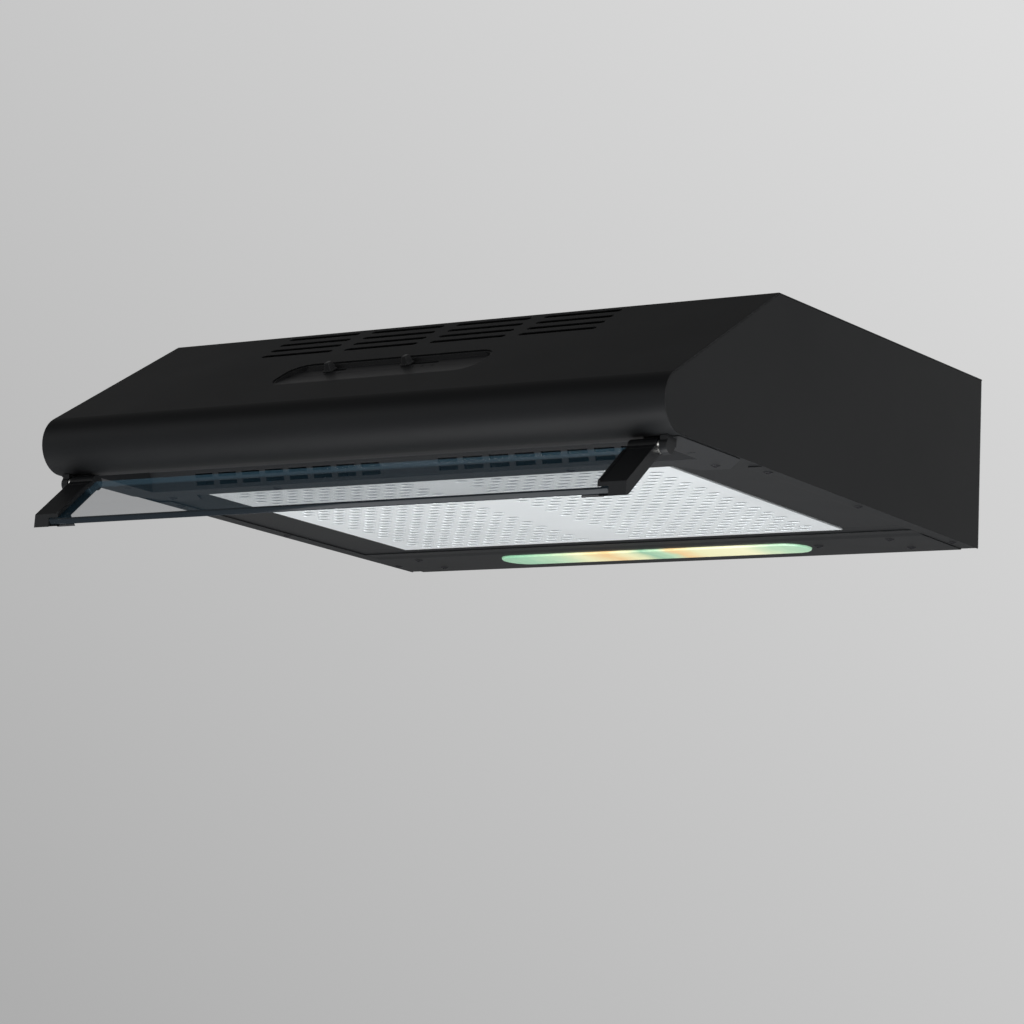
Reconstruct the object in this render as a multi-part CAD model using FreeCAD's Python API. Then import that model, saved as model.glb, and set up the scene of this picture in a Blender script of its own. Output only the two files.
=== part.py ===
"""Under-cabinet range hood with a fold-out glass visor, 50 cm cabinet module.

Frame, millimetres: x to the right seen from the front, y = 0 on the wall and
negative towards the cook, z = 0 on the underside of the cabinet and negative
downwards.  Rest pose: visor open, filter closed, both sliders at their left.
"""
import FreeCAD, Part
import math
import os

V = FreeCAD.Vector

# ---------------------------------------------------------------- sizes, mm
WIDTH = 498.0          # over both side panels
HEIGHT = 125.0         # at the wall
TOP_DEPTH = 315.0      # flat top, wall to the bend
NOSE_Y = -437.0        # centre of the rounded nose
NOSE_Z = -94.0
NOSE_R = 20.5
SHEET = 0.8            # painted steel
SEAM = 0.15            # gap between neighbouring sheets
RUN = 0.05             # radial clearance of a turning fit
SLIDE = 0.25           # clearance of a sliding fit
LIP = 9.0              # return of the nose sheet under the front

FILTER_W = 377.0       # perforated panel
FILTER_U0 = 98.5       # rear edge of the panel, from the wall
FILTER_U1 = 348.0      # front edge
FILTER_GAP = 0.6
FILTER_GAP_REAR = 1.5  # lets the rear edge swing
FILTER_RIM = 6.0

VISOR_AXIS_U = 437.0   # hinge line, along the bottom from the wall
VISOR_AXIS_W = -6.6    # and below it
VISOR_TILT = 40.0      # open visor, below the horizontal
VISOR_LEN = 47.0       # hinge line to the upper front edge
ARM_OUT = 235.0        # outer face of the arm, from the centre
ARM_W = 20.5
ARM_T = 8.0
GLASS_T = 5.0
PIN_R = 2.0

VENT_COLS = 4
VENT_ROWS = 4
VENT_LEN = 61.0
VENT_H = 5.2
VENT_PITCH_X = 71.6
VENT_PITCH_S = 12.1
VENT_FIRST_S = 7.5
VENT_SHIFT = -4.1      # the block of vents sits a little to the left

GRILLE_SLOTS = 8       # per group and row
GRILLE_PITCH = 20.4
GRILLE_SLOT_L = 15.4
GRILLE_SLOT_H = 3.0
GRILLE_FIRST_X = 31.5
GRILLE_ROWS = 2

FAN_X = 70.0
FAN_Y = -200.0
IMPELLER_R = 75.0
IMPELLER_H = 58.0
BLADES = 30
SHAFT_R = 4.0
DUCT_R = 60.0          # 120 mm outlet
DUCT_X = -88.0
DUCT_Y = -158.0
CASE_TOP = -12.0       # scroll casing, upper and lower faces
CASE_BOTTOM = -92.0
WALL = 2.0             # moulded plastic

LENS_L = 266.0
LENS_W = 34.0
LENS_U = 42.0
LENS_DROP = 1.6

SINK_TOP = 3.6         # countersunk head of a fan screw, radii and depth
SINK_LOW = 1.5
SINK_DEEP = 2.05
RIVET_R = 1.6
RIVET_HEAD_R = 3.0
HALF = WIDTH / 2.0

# control recess and sliders
TRAY_X0 = -92.0
TRAY_X1 = 75.0
TRAY_S0 = 72.0
TRAY_S1 = 114.0
TRAY_FLOOR_S = 88.0
TRAY_DEPTH = 5.0
TRAY_R = 15.0
KNOB_S = 80.0
KNOB_W = 8.0
KNOB_L = 9.0
KNOB_H = 6.2
LIGHT_X = -60.0
LIGHT_TRAVEL = 12.0
SPEED_X = 4.0
SPEED_TRAVEL = 24.0
STEM_R = 1.6

# fixing holes of the top sheet and the back
CABINET_HOLES = [(x, y) for x in (-225.0, 225.0) for y in (-60.0, -260.0)]
KEYHOLES = [(x, -34.0) for x in (-205.0, 205.0)]
RIVETS_Y = (-40.0, -150.0, -280.0)

# side flanges, pan fixings and hinge lugs
SIDE_FLANGE = 12.0
PAN_SCREW_U = (30.0, 180.0, 310.0)
LIP_END = NOSE_Y * -1 - LIP
LUG_IN = 237.0
LUG_OUT = 242.5
LUG_R = 5.2

# filter pivots
PIVOT_HEAD = 0.3       # how far its head stands out round the pin
PANEL_LOW = 0.1
PANEL_T = 0.7          # aluminium sheet of the filter panel
PIVOT_U = FILTER_U0 + PANEL_T + PIN_R + PIVOT_HEAD
PIVOT_W = PANEL_LOW + PANEL_T + PIN_R + PIVOT_HEAD

# screws of the front strip and the lamp panel
MOULD_SCREWS = [(-222.0, 344.0), (-120.0, 356.0), (120.0, 356.0), (222.0, 344.0)]
LAMP_PANEL_SCREWS = [(-205.0, 20.0), (-205.0, 56.0), (205.0, 20.0), (205.0, 56.0)]
LAMP_PANEL_X = HALF - SIDE_FLANGE - 0.4
LAMP_W = -0.6

# recess behind the visor
RECESS_U0 = 367.0      # foot of the slotted wall
RECESS_LEAN = 5.0      # the wall leans forward over its height
RECESS_H = 12.5
RECESS_U1 = 429.5
RECESS_X = 222.0       # half length of the recess
MOULD_T = 2.0

# corner plates under the nose return
PLATE_LOW = -0.8        # corner plate, just under the nose return
PLATE_HIGH = -0.1

# visor glass in its arms
ARM_IN = ARM_OUT - ARM_W
GLASS_BITE = 8.0
GLASS_N0 = -3.2
GLASS_FRONT = VISOR_LEN + 3.4

# perforations
PERF_L = 11.0
PERF_W = 4.6
PERF_PITCH_X = 14.0
PERF_PITCH_Y = 9.6
PERF_BAND = 17.0       # plain centre band, half width
PERF_EDGE = 9.0

# lamp
LENS_SCREW_X = LENS_L / 2.0 + 7.5
LAMP_AXIS_W = 17.0

# fan casing and cable inlet
FAN_SCREWS = [(-155.0, -88.0), (-155.0, -228.0), (160.0, -110.0), (160.0, -285.0)]
CABLE_X = 205.0
CABLE_Y = -40.0
SCROLL_R0 = IMPELLER_R + 9.0
SCROLL_GROW = 23.0
NECK_TOP = -0.4

# diverter flap
FLAP_X0 = DUCT_X - DUCT_R - 3.5
FLAP_X1 = DUCT_X + 42.0
FLAP_TOP = -24.0
FLAP_Z0 = -84.0
FLAP_AXIS_Y = DUCT_Y - DUCT_R - 5.0 + 4.0

# motor
CAN_R = 41.5
CAN_TOP = CASE_TOP - WALL - 0.3
CAN_BOTTOM = CAN_TOP - 36.0
SHAFT_END = CAN_BOTTOM - 20.0

# junction box
BOX_X0 = 182.0
BOX_X1 = 240.0
BOX_Y0 = -92.0
BOX_Y1 = -14.0
BOX_TOP = -1.9
BOX_LOW = -32.0
BOX_SCREWS = [(BOX_X0 + 5.2, BOX_Y0 + 5.2), (BOX_X1 - 11.2, BOX_Y1 - 5.2)]

# capacitor
CAP_X = 205.0
CAP_Y0 = -170.0

os.makedirs("parts", exist_ok=True)


# ------------------------------------------------------------ basic helpers
def save(name, shape):
    """Write one node."""
    shape.exportStep("parts/" + name + ".step")


def box(x0, x1, y0, y1, z0, z1):
    """Box between two corners."""
    return Part.makeBox(x1 - x0, y1 - y0, z1 - z0, V(x0, y0, z0))


def rod(base, axis, radius, length):
    """Cylinder from a base point along an axis."""
    return Part.makeCylinder(radius, length, V(*base), V(*axis))


def tube(base, axis, outer, inner, length):
    """Hollow cylinder."""
    return rod(base, axis, outer, length).cut(rod(base, axis, inner, length))


def prism_x(points, x0, x1):
    """Polygon in the y-z plane, extruded along x."""
    wire = Part.makePolygon([V(x0, y, z) for y, z in points + points[:1]])
    return Part.Face(wire).extrude(V(x1 - x0, 0, 0))


def prism_z(points, z0, z1):
    """Polygon in the x-y plane, extruded along z."""
    wire = Part.makePolygon([V(x, y, z0) for x, y in points + points[:1]])
    return Part.Face(wire).extrude(V(0, 0, z1 - z0))


def slot_wire(cx, cy, length, width, z):
    """Outline of an oblong slot lying along x."""
    r = width / 2.0
    h = length / 2.0 - r
    a = V(cx - h, cy - r, z)
    b = V(cx + h, cy - r, z)
    c = V(cx + h, cy + r, z)
    d = V(cx - h, cy + r, z)
    right = Part.Arc(b, V(cx + h + r, cy, z), c).toShape()
    left = Part.Arc(d, V(cx - h - r, cy, z), a).toShape()
    return Part.Wire([Part.makeLine(a, b), right, Part.makeLine(c, d), left])


def slot(cx, cy, length, width, z0, z1):
    """Oblong solid lying along x."""
    return Part.Face(slot_wire(cx, cy, length, width, z0)).extrude(V(0, 0, z1 - z0))


def round_plate(x0, x1, y0, y1, z0, z1, r):
    """Plate with rounded corners in plan."""
    body = box(x0, x1, y0, y1, z0, z1)
    edges = [e for e in body.Edges if abs(e.tangentAt(e.FirstParameter).z) > 0.99]
    return body.makeFillet(r, edges)


def mirror_x(shape):
    """Mirror image across the centre plane."""
    return shape.mirror(V(0, 0, 0), V(1, 0, 0))


def fuse(shapes):
    """One solid from several overlapping ones."""
    body = shapes[0].fuse(shapes[1:])
    return body.removeSplitter()


def cut(body, tools):
    """Body less several tools."""
    return body.cut(Part.makeCompound(tools))


# ------------------------------------------------------- profile of the hood
def tangent(py, pz, radius, side):
    """Angle on the nose circle where the line from a point touches it."""
    dy = py - NOSE_Y
    dz = pz - NOSE_Z
    reach = math.hypot(dy, dz)
    return math.atan2(dz, dy) + side * math.acos(radius / reach)


SLOPE_ANG = tangent(-TOP_DEPTH, 0.0, NOSE_R, 1)
BASE_ANG = tangent(0.0, -HEIGHT, NOSE_R, -1)
SLANT = math.degrees(SLOPE_ANG) - 90.0       # fall of the front face
BASE = -(math.degrees(BASE_ANG) + 90.0)      # rise of the underside to the front


def on_nose(radius, angle):
    """Point on a circle about the nose centre, as (y, z)."""
    return (NOSE_Y + radius * math.cos(angle), NOSE_Z + radius * math.sin(angle))


def tilt(shape):
    """From the flat underside frame (y = -u, z = w) to the hood."""
    out = shape.copy()
    out.rotate(V(0, 0, 0), V(1, 0, 0), -BASE)
    out.translate(V(0, 0, -HEIGHT))
    return out


def tilt_point(x, u, w):
    """A point of the underside frame in hood coordinates."""
    b = math.radians(BASE)
    return (x, -u * math.cos(b) + w * math.sin(b), u * math.sin(b) + w * math.cos(b) - HEIGHT)


def slant(shape):
    """From the flat front frame (y = -s down the slope, z = out) to the hood."""
    out = shape.copy()
    out.rotate(V(0, 0, 0), V(1, 0, 0), SLANT)
    out.translate(V(0, -TOP_DEPTH, 0))
    return out


def skin_line(inset):
    """Points of the skin offset inwards: bend, start, middle and end of the nose."""
    r = NOSE_R - inset
    t1 = on_nose(r, SLOPE_ANG)
    mid = on_nose(r, (SLOPE_ANG + 2 * math.pi + BASE_ANG) / 2.0)
    t2 = on_nose(r, BASE_ANG)
    run = (t1[1] + inset) / math.tan(math.radians(SLANT))
    bend = (t1[0] - run, -inset)
    return bend, t1, mid, t2


def lip_point(t2, length):
    """Point on the return, a length back from the nose."""
    b = math.radians(BASE)
    return (t2[0] + length * math.cos(b), t2[1] - length * math.sin(b))


def skin_edges(x, inset, rear):
    """Edges of one side of the skin, wall to nose return."""
    bend, t1, mid, t2 = skin_line(inset)
    end = lip_point(t2, LIP)
    p = [V(x, *q) for q in ((rear, -inset), bend, t1, mid, t2, end)]
    arc = Part.Arc(p[2], p[3], p[4]).toShape()
    return [Part.makeLine(p[0], p[1]), Part.makeLine(p[1], p[2]), arc, Part.makeLine(p[4], p[5])], p


def vent_slots():
    """Tools for the recirculation vents in the front face."""
    tools = []
    for col in range(VENT_COLS):
        x = (col - (VENT_COLS - 1) / 2.0) * VENT_PITCH_X + VENT_SHIFT
        for row in range(VENT_ROWS):
            s = VENT_FIRST_S + row * VENT_PITCH_S
            tools.append(slant(slot(x, -s, VENT_LEN, VENT_H, -4, 3)))
    return tools


# ------------------------------------------------------------- control recess


def tray_plan(inset, z0, z1):
    """Rounded plan of the recess."""
    return round_plate(TRAY_X0 + inset, TRAY_X1 - inset, -TRAY_S1 + inset, -TRAY_S0 - inset, z0, z1,
                       TRAY_R - inset)


def tray_scoop(inset):
    """Space inside the recess: flat floor, long ramp up to the lower edge."""
    ramp = [(-TRAY_S0 - inset, 1.0), (-TRAY_S0 - inset - 1.5, -TRAY_DEPTH + inset),
            (-TRAY_FLOOR_S, -TRAY_DEPTH + inset), (-TRAY_S1 + inset, -0.6), (-TRAY_S1 + inset, 1.0)]
    wedge = prism_x(ramp, TRAY_X0, TRAY_X1)
    return wedge.common(tray_plan(inset, -TRAY_DEPTH - 2, 2))


def slider_slot(x, travel):
    """Guide slot in the recess floor for one slider."""
    mid = x + travel / 2.0
    length = travel + 2 * (STEM_R + SLIDE)
    return slot(mid, -KNOB_S, length, 2 * (STEM_R + SLIDE), -TRAY_DEPTH - 6, 0)


def tray_shell():
    """Outer skin of the recess, one wall thickness outside the scoop."""
    t = 1.6
    section = [(-TRAY_S0 - 0.3, -SHEET - 0.1), (-TRAY_S0 - 0.3, -TRAY_DEPTH),
               (-TRAY_FLOOR_S - 1.0, -TRAY_DEPTH), (-TRAY_S1 + 0.3, -0.6 - t - 0.2),
               (-TRAY_S1 + 0.3, -SHEET - 0.1)]
    return prism_x(section, TRAY_X0, TRAY_X1).common(tray_plan(0.3, -TRAY_DEPTH - 3, -SHEET - 0.1))


def control_tray():
    """Moulded recess with two guide slots and raised position marks."""
    ring = round_plate(TRAY_X0 - 8, TRAY_X1 + 8, -TRAY_S1 - 6, -TRAY_S0 + 6, -SHEET - 1.6, -SHEET - 0.1, 18)
    body = fuse([tray_shell(), ring]).cut(tray_scoop(1.6))
    body = cut(body, [slider_slot(LIGHT_X, LIGHT_TRAVEL), slider_slot(SPEED_X, SPEED_TRAVEL)])
    marks = []
    for x, travel, count in ((LIGHT_X, LIGHT_TRAVEL, 2), (SPEED_X, SPEED_TRAVEL, 4)):
        for i in range(count):
            cx = x + travel * i / (count - 1.0)
            marks.append(box(cx - 0.6, cx + 0.6, -KNOB_S - 7.6, -KNOB_S - 5.4,
                             -TRAY_DEPTH + 1.0, -TRAY_DEPTH + 1.9))
    return slant(fuse([body] + marks))


def knob(x):
    """Finger piece of a slider: tapered blade on a foot, stem through the floor."""
    floor = -TRAY_DEPTH + 1.6
    foot = box(x - KNOB_W / 2, x + KNOB_W / 2, -KNOB_S - KNOB_L / 2, -KNOB_S + KNOB_L / 2,
               floor + 0.2, floor + 1.8)
    blade = prism_blade(x, floor + 1.0, floor + KNOB_H)
    stem = rod((x, -KNOB_S, -TRAY_DEPTH - 7.0), (0, 0, 1), STEM_R, 7.0 + 2.6)
    return slant(fuse([foot, blade, stem]))


def prism_blade(x, z0, z1):
    """Blade of a knob, narrowing upwards."""
    low = Part.makePolygon([V(x - 3.4, -KNOB_S - 4.0, z0), V(x + 3.4, -KNOB_S - 4.0, z0),
                            V(x + 3.4, -KNOB_S + 4.0, z0), V(x - 3.4, -KNOB_S + 4.0, z0),
                            V(x - 3.4, -KNOB_S - 4.0, z0)])
    high = Part.makePolygon([V(x - 1.8, -KNOB_S - 2.8, z1), V(x + 1.8, -KNOB_S - 2.8, z1),
                             V(x + 1.8, -KNOB_S + 2.8, z1), V(x - 1.8, -KNOB_S + 2.8, z1),
                             V(x - 1.8, -KNOB_S - 2.8, z1)])
    return Part.makeLoft([low, high], True, True)


def switch_body(x, travel):
    """Slide switch behind the recess, open channel for the stem."""
    x0 = x - 9.0
    x1 = x + travel + 9.0
    top = -TRAY_DEPTH - 2.0
    body = box(x0, x1, -KNOB_S - 9, -KNOB_S + 9, top - 14, top)
    gap = STEM_R + SLIDE
    channel = slot(x + travel / 2.0, -KNOB_S, travel + 2 * gap, 2 * gap, top - 7, top + 1)
    tags = [box(x0 + 4 + i * 8, x0 + 8 + i * 8, -KNOB_S - 0.4, -KNOB_S + 0.4, top - 22, top - 13)
            for i in range(3)]
    return slant(fuse([body.cut(channel)] + tags))


def switch_plate():
    """Steel strip that carries both switches under the recess."""
    top = -TRAY_DEPTH - 16.15
    plate = box(TRAY_X0 + 4, TRAY_X1 - 4, -KNOB_S - 12, -KNOB_S + 12, top - 1.0, top)
    holes = []
    for x, travel in ((LIGHT_X, LIGHT_TRAVEL), (SPEED_X, SPEED_TRAVEL)):
        holes.append(box(x - 7, x + travel + 9, -KNOB_S - 3, -KNOB_S + 3, top - 3, top + 1))
    legs = [box(x - 4, x + 4, -KNOB_S - 12, -KNOB_S - 11, top - 0.5, -TRAY_DEPTH - 1.75)
            for x in (TRAY_X0 + 10, TRAY_X1 - 10)]
    legs += [box(x - 4, x + 4, -KNOB_S + 11, -KNOB_S + 12, top - 0.5, -TRAY_DEPTH - 1.75)
             for x in (TRAY_X0 + 10, TRAY_X1 - 10)]
    return slant(cut(fuse([plate] + legs), holes))


# --------------------------------------------------------------- sheet metal


def canopy_sheet():
    """Top, front slope and nose in one bent sheet."""
    outer, po = skin_edges(-HALF, 0.0, 0.0)
    inner, pi = skin_edges(-HALF, SHEET, 0.0)
    wire = Part.Wire(outer + [Part.makeLine(po[-1], pi[-1])] + inner[::-1] + [Part.makeLine(pi[0], po[0])])
    body = Part.Face(wire).extrude(V(WIDTH, 0, 0))
    tools = vent_slots()
    tools.append(slant(tray_plan(0.0, -4, 4)))
    tools.append(rod((DUCT_X, DUCT_Y, -3), (0, 0, 1), DUCT_R + 3.0, 6))
    for x, y in CABINET_HOLES:
        tools.append(rod((x, y, -3), (0, 0, 1), 2.75, 6))
    for x in (-HALF + 7.0, HALF - 7.0):
        for y in RIVETS_Y:
            tools.append(rod((x, y, -3), (0, 0, 1), RIVET_R + RUN, 6))
            tools.append(Part.makeCone(RIVET_R + 0.08, RIVET_HEAD_R + 0.15, SHEET, V(x, y, -SHEET + 0.02)))
    for x, y in FAN_SCREWS:
        tools.append(rod((x, y, -3), (0, 0, 1), 1.7, 6))
        tools.append(sink(x, y))
    tools.append(rod((CABLE_X, CABLE_Y, -3), (0, 0, 1), 8.1, 6))
    return cut(body, tools)


def side_outline(inset):
    """Closed outline of a side panel, fitted inside the skin."""
    bend, t1, mid, t2 = skin_line(inset)
    step = lip_point(t2, LIP + 0.6)
    b = math.radians(BASE)
    low = (step[0] - inset * math.sin(b), step[1] - inset * math.cos(b))
    foot = (0.0, -HEIGHT)
    return bend, t1, mid, t2, step, low, foot


def side_plate(x, thick):
    """Flat side panel between x and x + thick."""
    inset = SHEET + SEAM
    bend, t1, mid, t2, step, low, foot = side_outline(inset)
    top = V(x, 0.0, -inset)
    pts = [V(x, *p) for p in (bend, t1, mid, t2, step, low, foot)]
    edges = [Part.makeLine(top, pts[0]), Part.makeLine(pts[0], pts[1]),
             Part.Arc(pts[1], pts[2], pts[3]).toShape(),
             Part.makeLine(pts[3], pts[4]), Part.makeLine(pts[4], pts[5]),
             Part.makeLine(pts[5], pts[6]), Part.makeLine(pts[6], top)]
    return Part.Face(Part.Wire(edges)).extrude(V(thick, 0, 0))


def side_panel(sign):
    """Side panel with its folded flanges; built on the right and mirrored."""
    x1 = HALF
    x0 = HALF - SHEET
    inset = SHEET + SEAM
    plate = side_plate(x0, SHEET)
    top = box(x1 - SIDE_FLANGE, x1, -300.0, -18.0, -inset - SHEET, -inset)
    rear = box(x1 - SIDE_FLANGE, x1, -SHEET - SEAM - SHEET, -SHEET - SEAM, -112.0, -8.0)
    low = tilt(box(x1 - SIDE_FLANGE, x1, -328.0, -4.0, 0.0, SHEET))
    body = fuse([plate, top, rear, low])
    tools = [rod((x1 - 7.0, y, -4), (0, 0, 1), 1.65, 4) for y in RIVETS_Y]
    tools += [tilt(rod((x1 - 7.0, -u, -2), (0, 0, 1), 1.5, 4)) for u in PAN_SCREW_U]
    body = cut(body, tools)
    # the rear 0.8 mm of the plate makes room for the back panel
    body = body.cut(box(x0 - 20, x1 + 1, -SHEET - SEAM, 1, -HEIGHT - 1, -inset + 0.01))
    return body if sign > 0 else mirror_x(body)


def back_panel():
    """Wall panel with keyholes."""
    z0 = -HEIGHT + 0.6
    z1 = -SHEET - SEAM
    body = box(-HALF + 0.2, HALF - 0.2, -SHEET, 0.0, z0, z1)
    fold = tilt(box(-HALF + 14.0, HALF - 14.0, -12.0, -0.05, 2.1, 2.9))
    tools = []
    for x, z in KEYHOLES:
        tools.append(rod((x, -3, z), (0, 1, 0), 5.5, 6))
        tools.append(rod((x, -3, z + 9.0), (0, 1, 0), 2.75, 6))
        tools.append(box(x - 2.75, x + 2.75, -3, 3, z, z + 9.0))
    for x in (-205.0, 205.0):
        tools.append(rod((x, -3, -100.0), (0, 1, 0), 2.75, 6))
    fold = fold.cut(box(-HALF, HALF, -SHEET + 0.01, 5, -HEIGHT - 5, 0))
    return fuse([cut(body, tools), fold])


def bottom_pan():
    """Underside sheet with the filter opening and the lamp opening."""
    w0 = SHEET + SEAM
    w1 = w0 + SHEET
    body = box(-HALF + SHEET + 0.3, HALF - SHEET - 0.3, -362.0, -2.2, w0, w1)
    hole_x = FILTER_W / 2.0 + FILTER_GAP
    rear = -FILTER_U0 + FILTER_GAP_REAR
    tools = [box(-hole_x, hole_x, -FILTER_U1 - FILTER_GAP, rear, w0 - 1, w1 + 1)]
    tools.append(slot(0, -LENS_U, LENS_L + 34.0, LENS_W + 10.0, w0 - 1, w1 + 1))
    for x in (-HALF + 7.0, HALF - 7.0):
        for u in PAN_SCREW_U:
            tools.append(rod((x, -u, w0 - 1), (0, 0, 1), 1.5, 4))
    for x, u in MOULD_SCREWS:
        tools.append(rod((x, -u, w0 - 1), (0, 0, 1), 1.5, 4))
    for x, u in LAMP_PANEL_SCREWS:
        tools.append(rod((x, -u, w0 - 1), (0, 0, 1), 1.5, 4))
    rims = []
    for side in (-1, 1):
        x0, x1 = sorted((side * (hole_x + 0.4), side * (hole_x + 0.4 + SHEET)))
        rims.append(box(x0, x1, -FILTER_U1, -FILTER_U0, w1 - 0.1, w1 + 7.0))
    rims.append(box(-hole_x, hole_x, rear + 0.4, rear + 0.4 + SHEET, w1 - 0.1, w1 + 7.0))
    pivot = rod((-HALF, -PIVOT_U, PIVOT_W), (1, 0, 0), PIN_R + RUN, WIDTH)
    return tilt(fuse([cut(body, tools)] + rims).cut(pivot))


def lamp_panel():
    """Slightly lowered rear strip that carries the lamp."""
    section = [(-3.0, LAMP_W), (-66.0, LAMP_W), (-74.0, 0.05), (-84.0, 0.05), (-84.0, 0.8), (-73.7, 0.8),
               (-65.7, LAMP_W + SHEET), (-3.0, LAMP_W + SHEET)]
    body = prism_x(section, -LAMP_PANEL_X, LAMP_PANEL_X)
    rise = [box(x - 4, x + 4, -u - 4, -u + 4, LAMP_W + SHEET - 0.1, SHEET) for x, u in LAMP_PANEL_SCREWS]
    tools = [slot(0, -LENS_U, LENS_L + 0.8, LENS_W + 0.8, LAMP_W - 1, 3)]
    tools += [rod((x, -u, LAMP_W - 1), (0, 0, 1), 2.1, 4) for x, u in LAMP_PANEL_SCREWS]
    tools.append(rod((LENS_SCREW_X, -LENS_U, LAMP_W - 1), (0, 0, 1), 1.5, 4))
    return tilt(cut(fuse([body] + rise), tools))


# ------------------------------------------------------------- front moulding


def front_moulding():
    """Plastic front strip: slotted wall behind the visor, corner plates, hinge lugs."""
    t = MOULD_T
    wall = [(-RECESS_U0, -0.8), (-RECESS_U0 - RECESS_LEAN, RECESS_H),
            (-RECESS_U1, RECESS_H), (-RECESS_U1, 1.0), (-RECESS_U1 - t, 1.0), (-RECESS_U1 - t, RECESS_H + t),
            (-RECESS_U0 - RECESS_LEAN + t, RECESS_H + t), (-RECESS_U0 + t, 0.8), (-350.0, 0.8),
            (-350.0, -0.8)]
    pieces = [prism_x(wall, -RECESS_X - t, RECESS_X + t)]
    for side in (-1, 1):
        x0, x1 = sorted((side * RECESS_X, side * (RECESS_X + t)))
        pieces.append(box(x0, x1, -RECESS_U1 - t, -RECESS_U0 + t, PLATE_LOW, RECESS_H + t))
        pieces += [corner_plate(side), lug_shape(side)]
    body = fuse(pieces)
    tools = [box(-HALF, HALF, -440.0, -LIP_END + 0.5, PLATE_HIGH, SHEET + 0.15)]
    for side in (-1, 1):
        for i in range(GRILLE_SLOTS):
            x = side * (GRILLE_FIRST_X + i * GRILLE_PITCH)
            for row in range(GRILLE_ROWS):
                w = 3.6 + row * 5.2
                u = RECESS_U0 + RECESS_LEAN * w / RECESS_H
                tools.append(box(x - GRILLE_SLOT_L / 2, x + GRILLE_SLOT_L / 2, -u - 4, -u + 6,
                                 w - GRILLE_SLOT_H / 2, w + GRILLE_SLOT_H / 2))
        b0, b1 = sorted((side * (LUG_IN - 1.0), side * (LUG_OUT - 1.0)))
        tools.append(rod((b0, -VISOR_AXIS_U, VISOR_AXIS_W), (1, 0, 0), PIN_R + RUN, b1 - b0))
        tools.append(slot(side * 228.5, -386.8, 6.0, 1.8, -2.0, 0.0))
    for x, u in MOULD_SCREWS:
        tools.append(rod((x, -u, -2), (0, 0, 1), 2.1, 3.5))
    return tilt(cut(body, tools))


def corner_plate(side):
    """Plate that closes the underside beside the recess; its rear edge is stepped."""
    end = HALF - SHEET - 0.4
    plan = [(196.0, -350.5), (205.0, -333.0), (226.0, -331.5), (end, -358.0), (end, -436.0),
            (RECESS_X, -436.0), (RECESS_X, -350.5)]
    return prism_z([(side * x, y) for x, y in plan], PLATE_LOW, PLATE_HIGH)


def lug_shape(side):
    """Hinge lug hanging from the corner plate."""
    x0, x1 = sorted((side * LUG_IN, side * LUG_OUT))
    barrel = rod((x0, -VISOR_AXIS_U, VISOR_AXIS_W), (1, 0, 0), LUG_R, x1 - x0)
    neck = box(x0, x1, -VISOR_AXIS_U - 4.0, -VISOR_AXIS_U + 7.0, VISOR_AXIS_W, PLATE_HIGH)
    return fuse([barrel, neck])


# --------------------------------------------------------------------- visor
def visor_place(shape):
    """From the visor frame (y = -a along the visor, z = face side) to the hood."""
    out = shape.copy()
    out.rotate(V(0, 0, 0), V(1, 0, 0), VISOR_TILT)
    out.translate(V(*tilt_point(0, VISOR_AXIS_U, VISOR_AXIS_W)))
    return out


def visor_arm(side):
    """End arm of the visor: barrel, tapered body, groove for the glass."""
    x0, x1 = sorted((side * ARM_IN, side * ARM_OUT))
    h = ARM_T / 2.0
    body = prism_x([(4.5, -h), (4.5, h - 0.3), (-VISOR_LEN, h), (-VISOR_LEN - 6.2, -h + 1.4),
                    (-VISOR_LEN - 3.0, -h)], x0, x1)
    body = body.cut(prism_x([(5, -h - 1), (5, h + 1), (0, h + 1), (0, -h - 1)], x0 - 1, x1 + 1))
    barrel = rod((x0, 0, 0), (1, 0, 0), 5.4, x1 - x0)
    groove = prism_x([(-6.4, h + 1), (-7.4, h - 0.9), (-8.4, h + 1)], x0 - 1, x1 + 1)
    arm = fuse([body, barrel]).cut(groove)
    inner = side * ARM_IN
    lip = box(*sorted((inner, inner + side * 1.6)), -VISOR_LEN + 0.5, -9.0, h - 0.1, h + 0.7)
    web = prism_z([(inner, -GLASS_FRONT + 0.4), (inner - side * 13.0, -GLASS_FRONT + 0.4),
                   (inner, -GLASS_FRONT + 14.0)],
                  GLASS_N0 - 1.6, GLASS_N0 - 0.1)
    web_root = box(*sorted((inner, inner + side * 3.0)), -GLASS_FRONT + 0.4, -GLASS_FRONT + 14.0,
                   GLASS_N0 - 1.6,
                   GLASS_N0 - 0.1)
    arm = fuse([arm, lip, web, web_root])
    g0, g1 = sorted((inner - side * 1.0, inner + side * (GLASS_BITE + 0.1)))
    pocket = box(g0, g1, -GLASS_FRONT - 9.0, -9.9, GLASS_N0 - 0.1, GLASS_N0 + GLASS_T + 0.1)
    bore = rod((x0 - 1 if side < 0 else x1 - 8.0, 0, 0), (1, 0, 0), PIN_R, 9.0)
    arm = cut(arm, [pocket, bore])
    return visor_place(arm)


def visor_glass():
    """Tinted glass, held in both arms."""
    half = ARM_IN + GLASS_BITE
    plate = box(-half, half, -GLASS_FRONT, -10.0, GLASS_N0, GLASS_N0 + GLASS_T)
    tongue = box(1.0 - ARM_IN, ARM_IN - 1.0, -11.0, -1.0, GLASS_N0, GLASS_N0 + GLASS_T)
    plate = fuse([plate, tongue])
    edges = [e for e in plate.Edges if abs(e.BoundBox.YMin + GLASS_FRONT) < 0.01 and e.BoundBox.XLength > 10
             and e.BoundBox.YLength < 0.01]
    plate = plate.makeChamfer(0.5, edges)
    return visor_place(plate)


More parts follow.
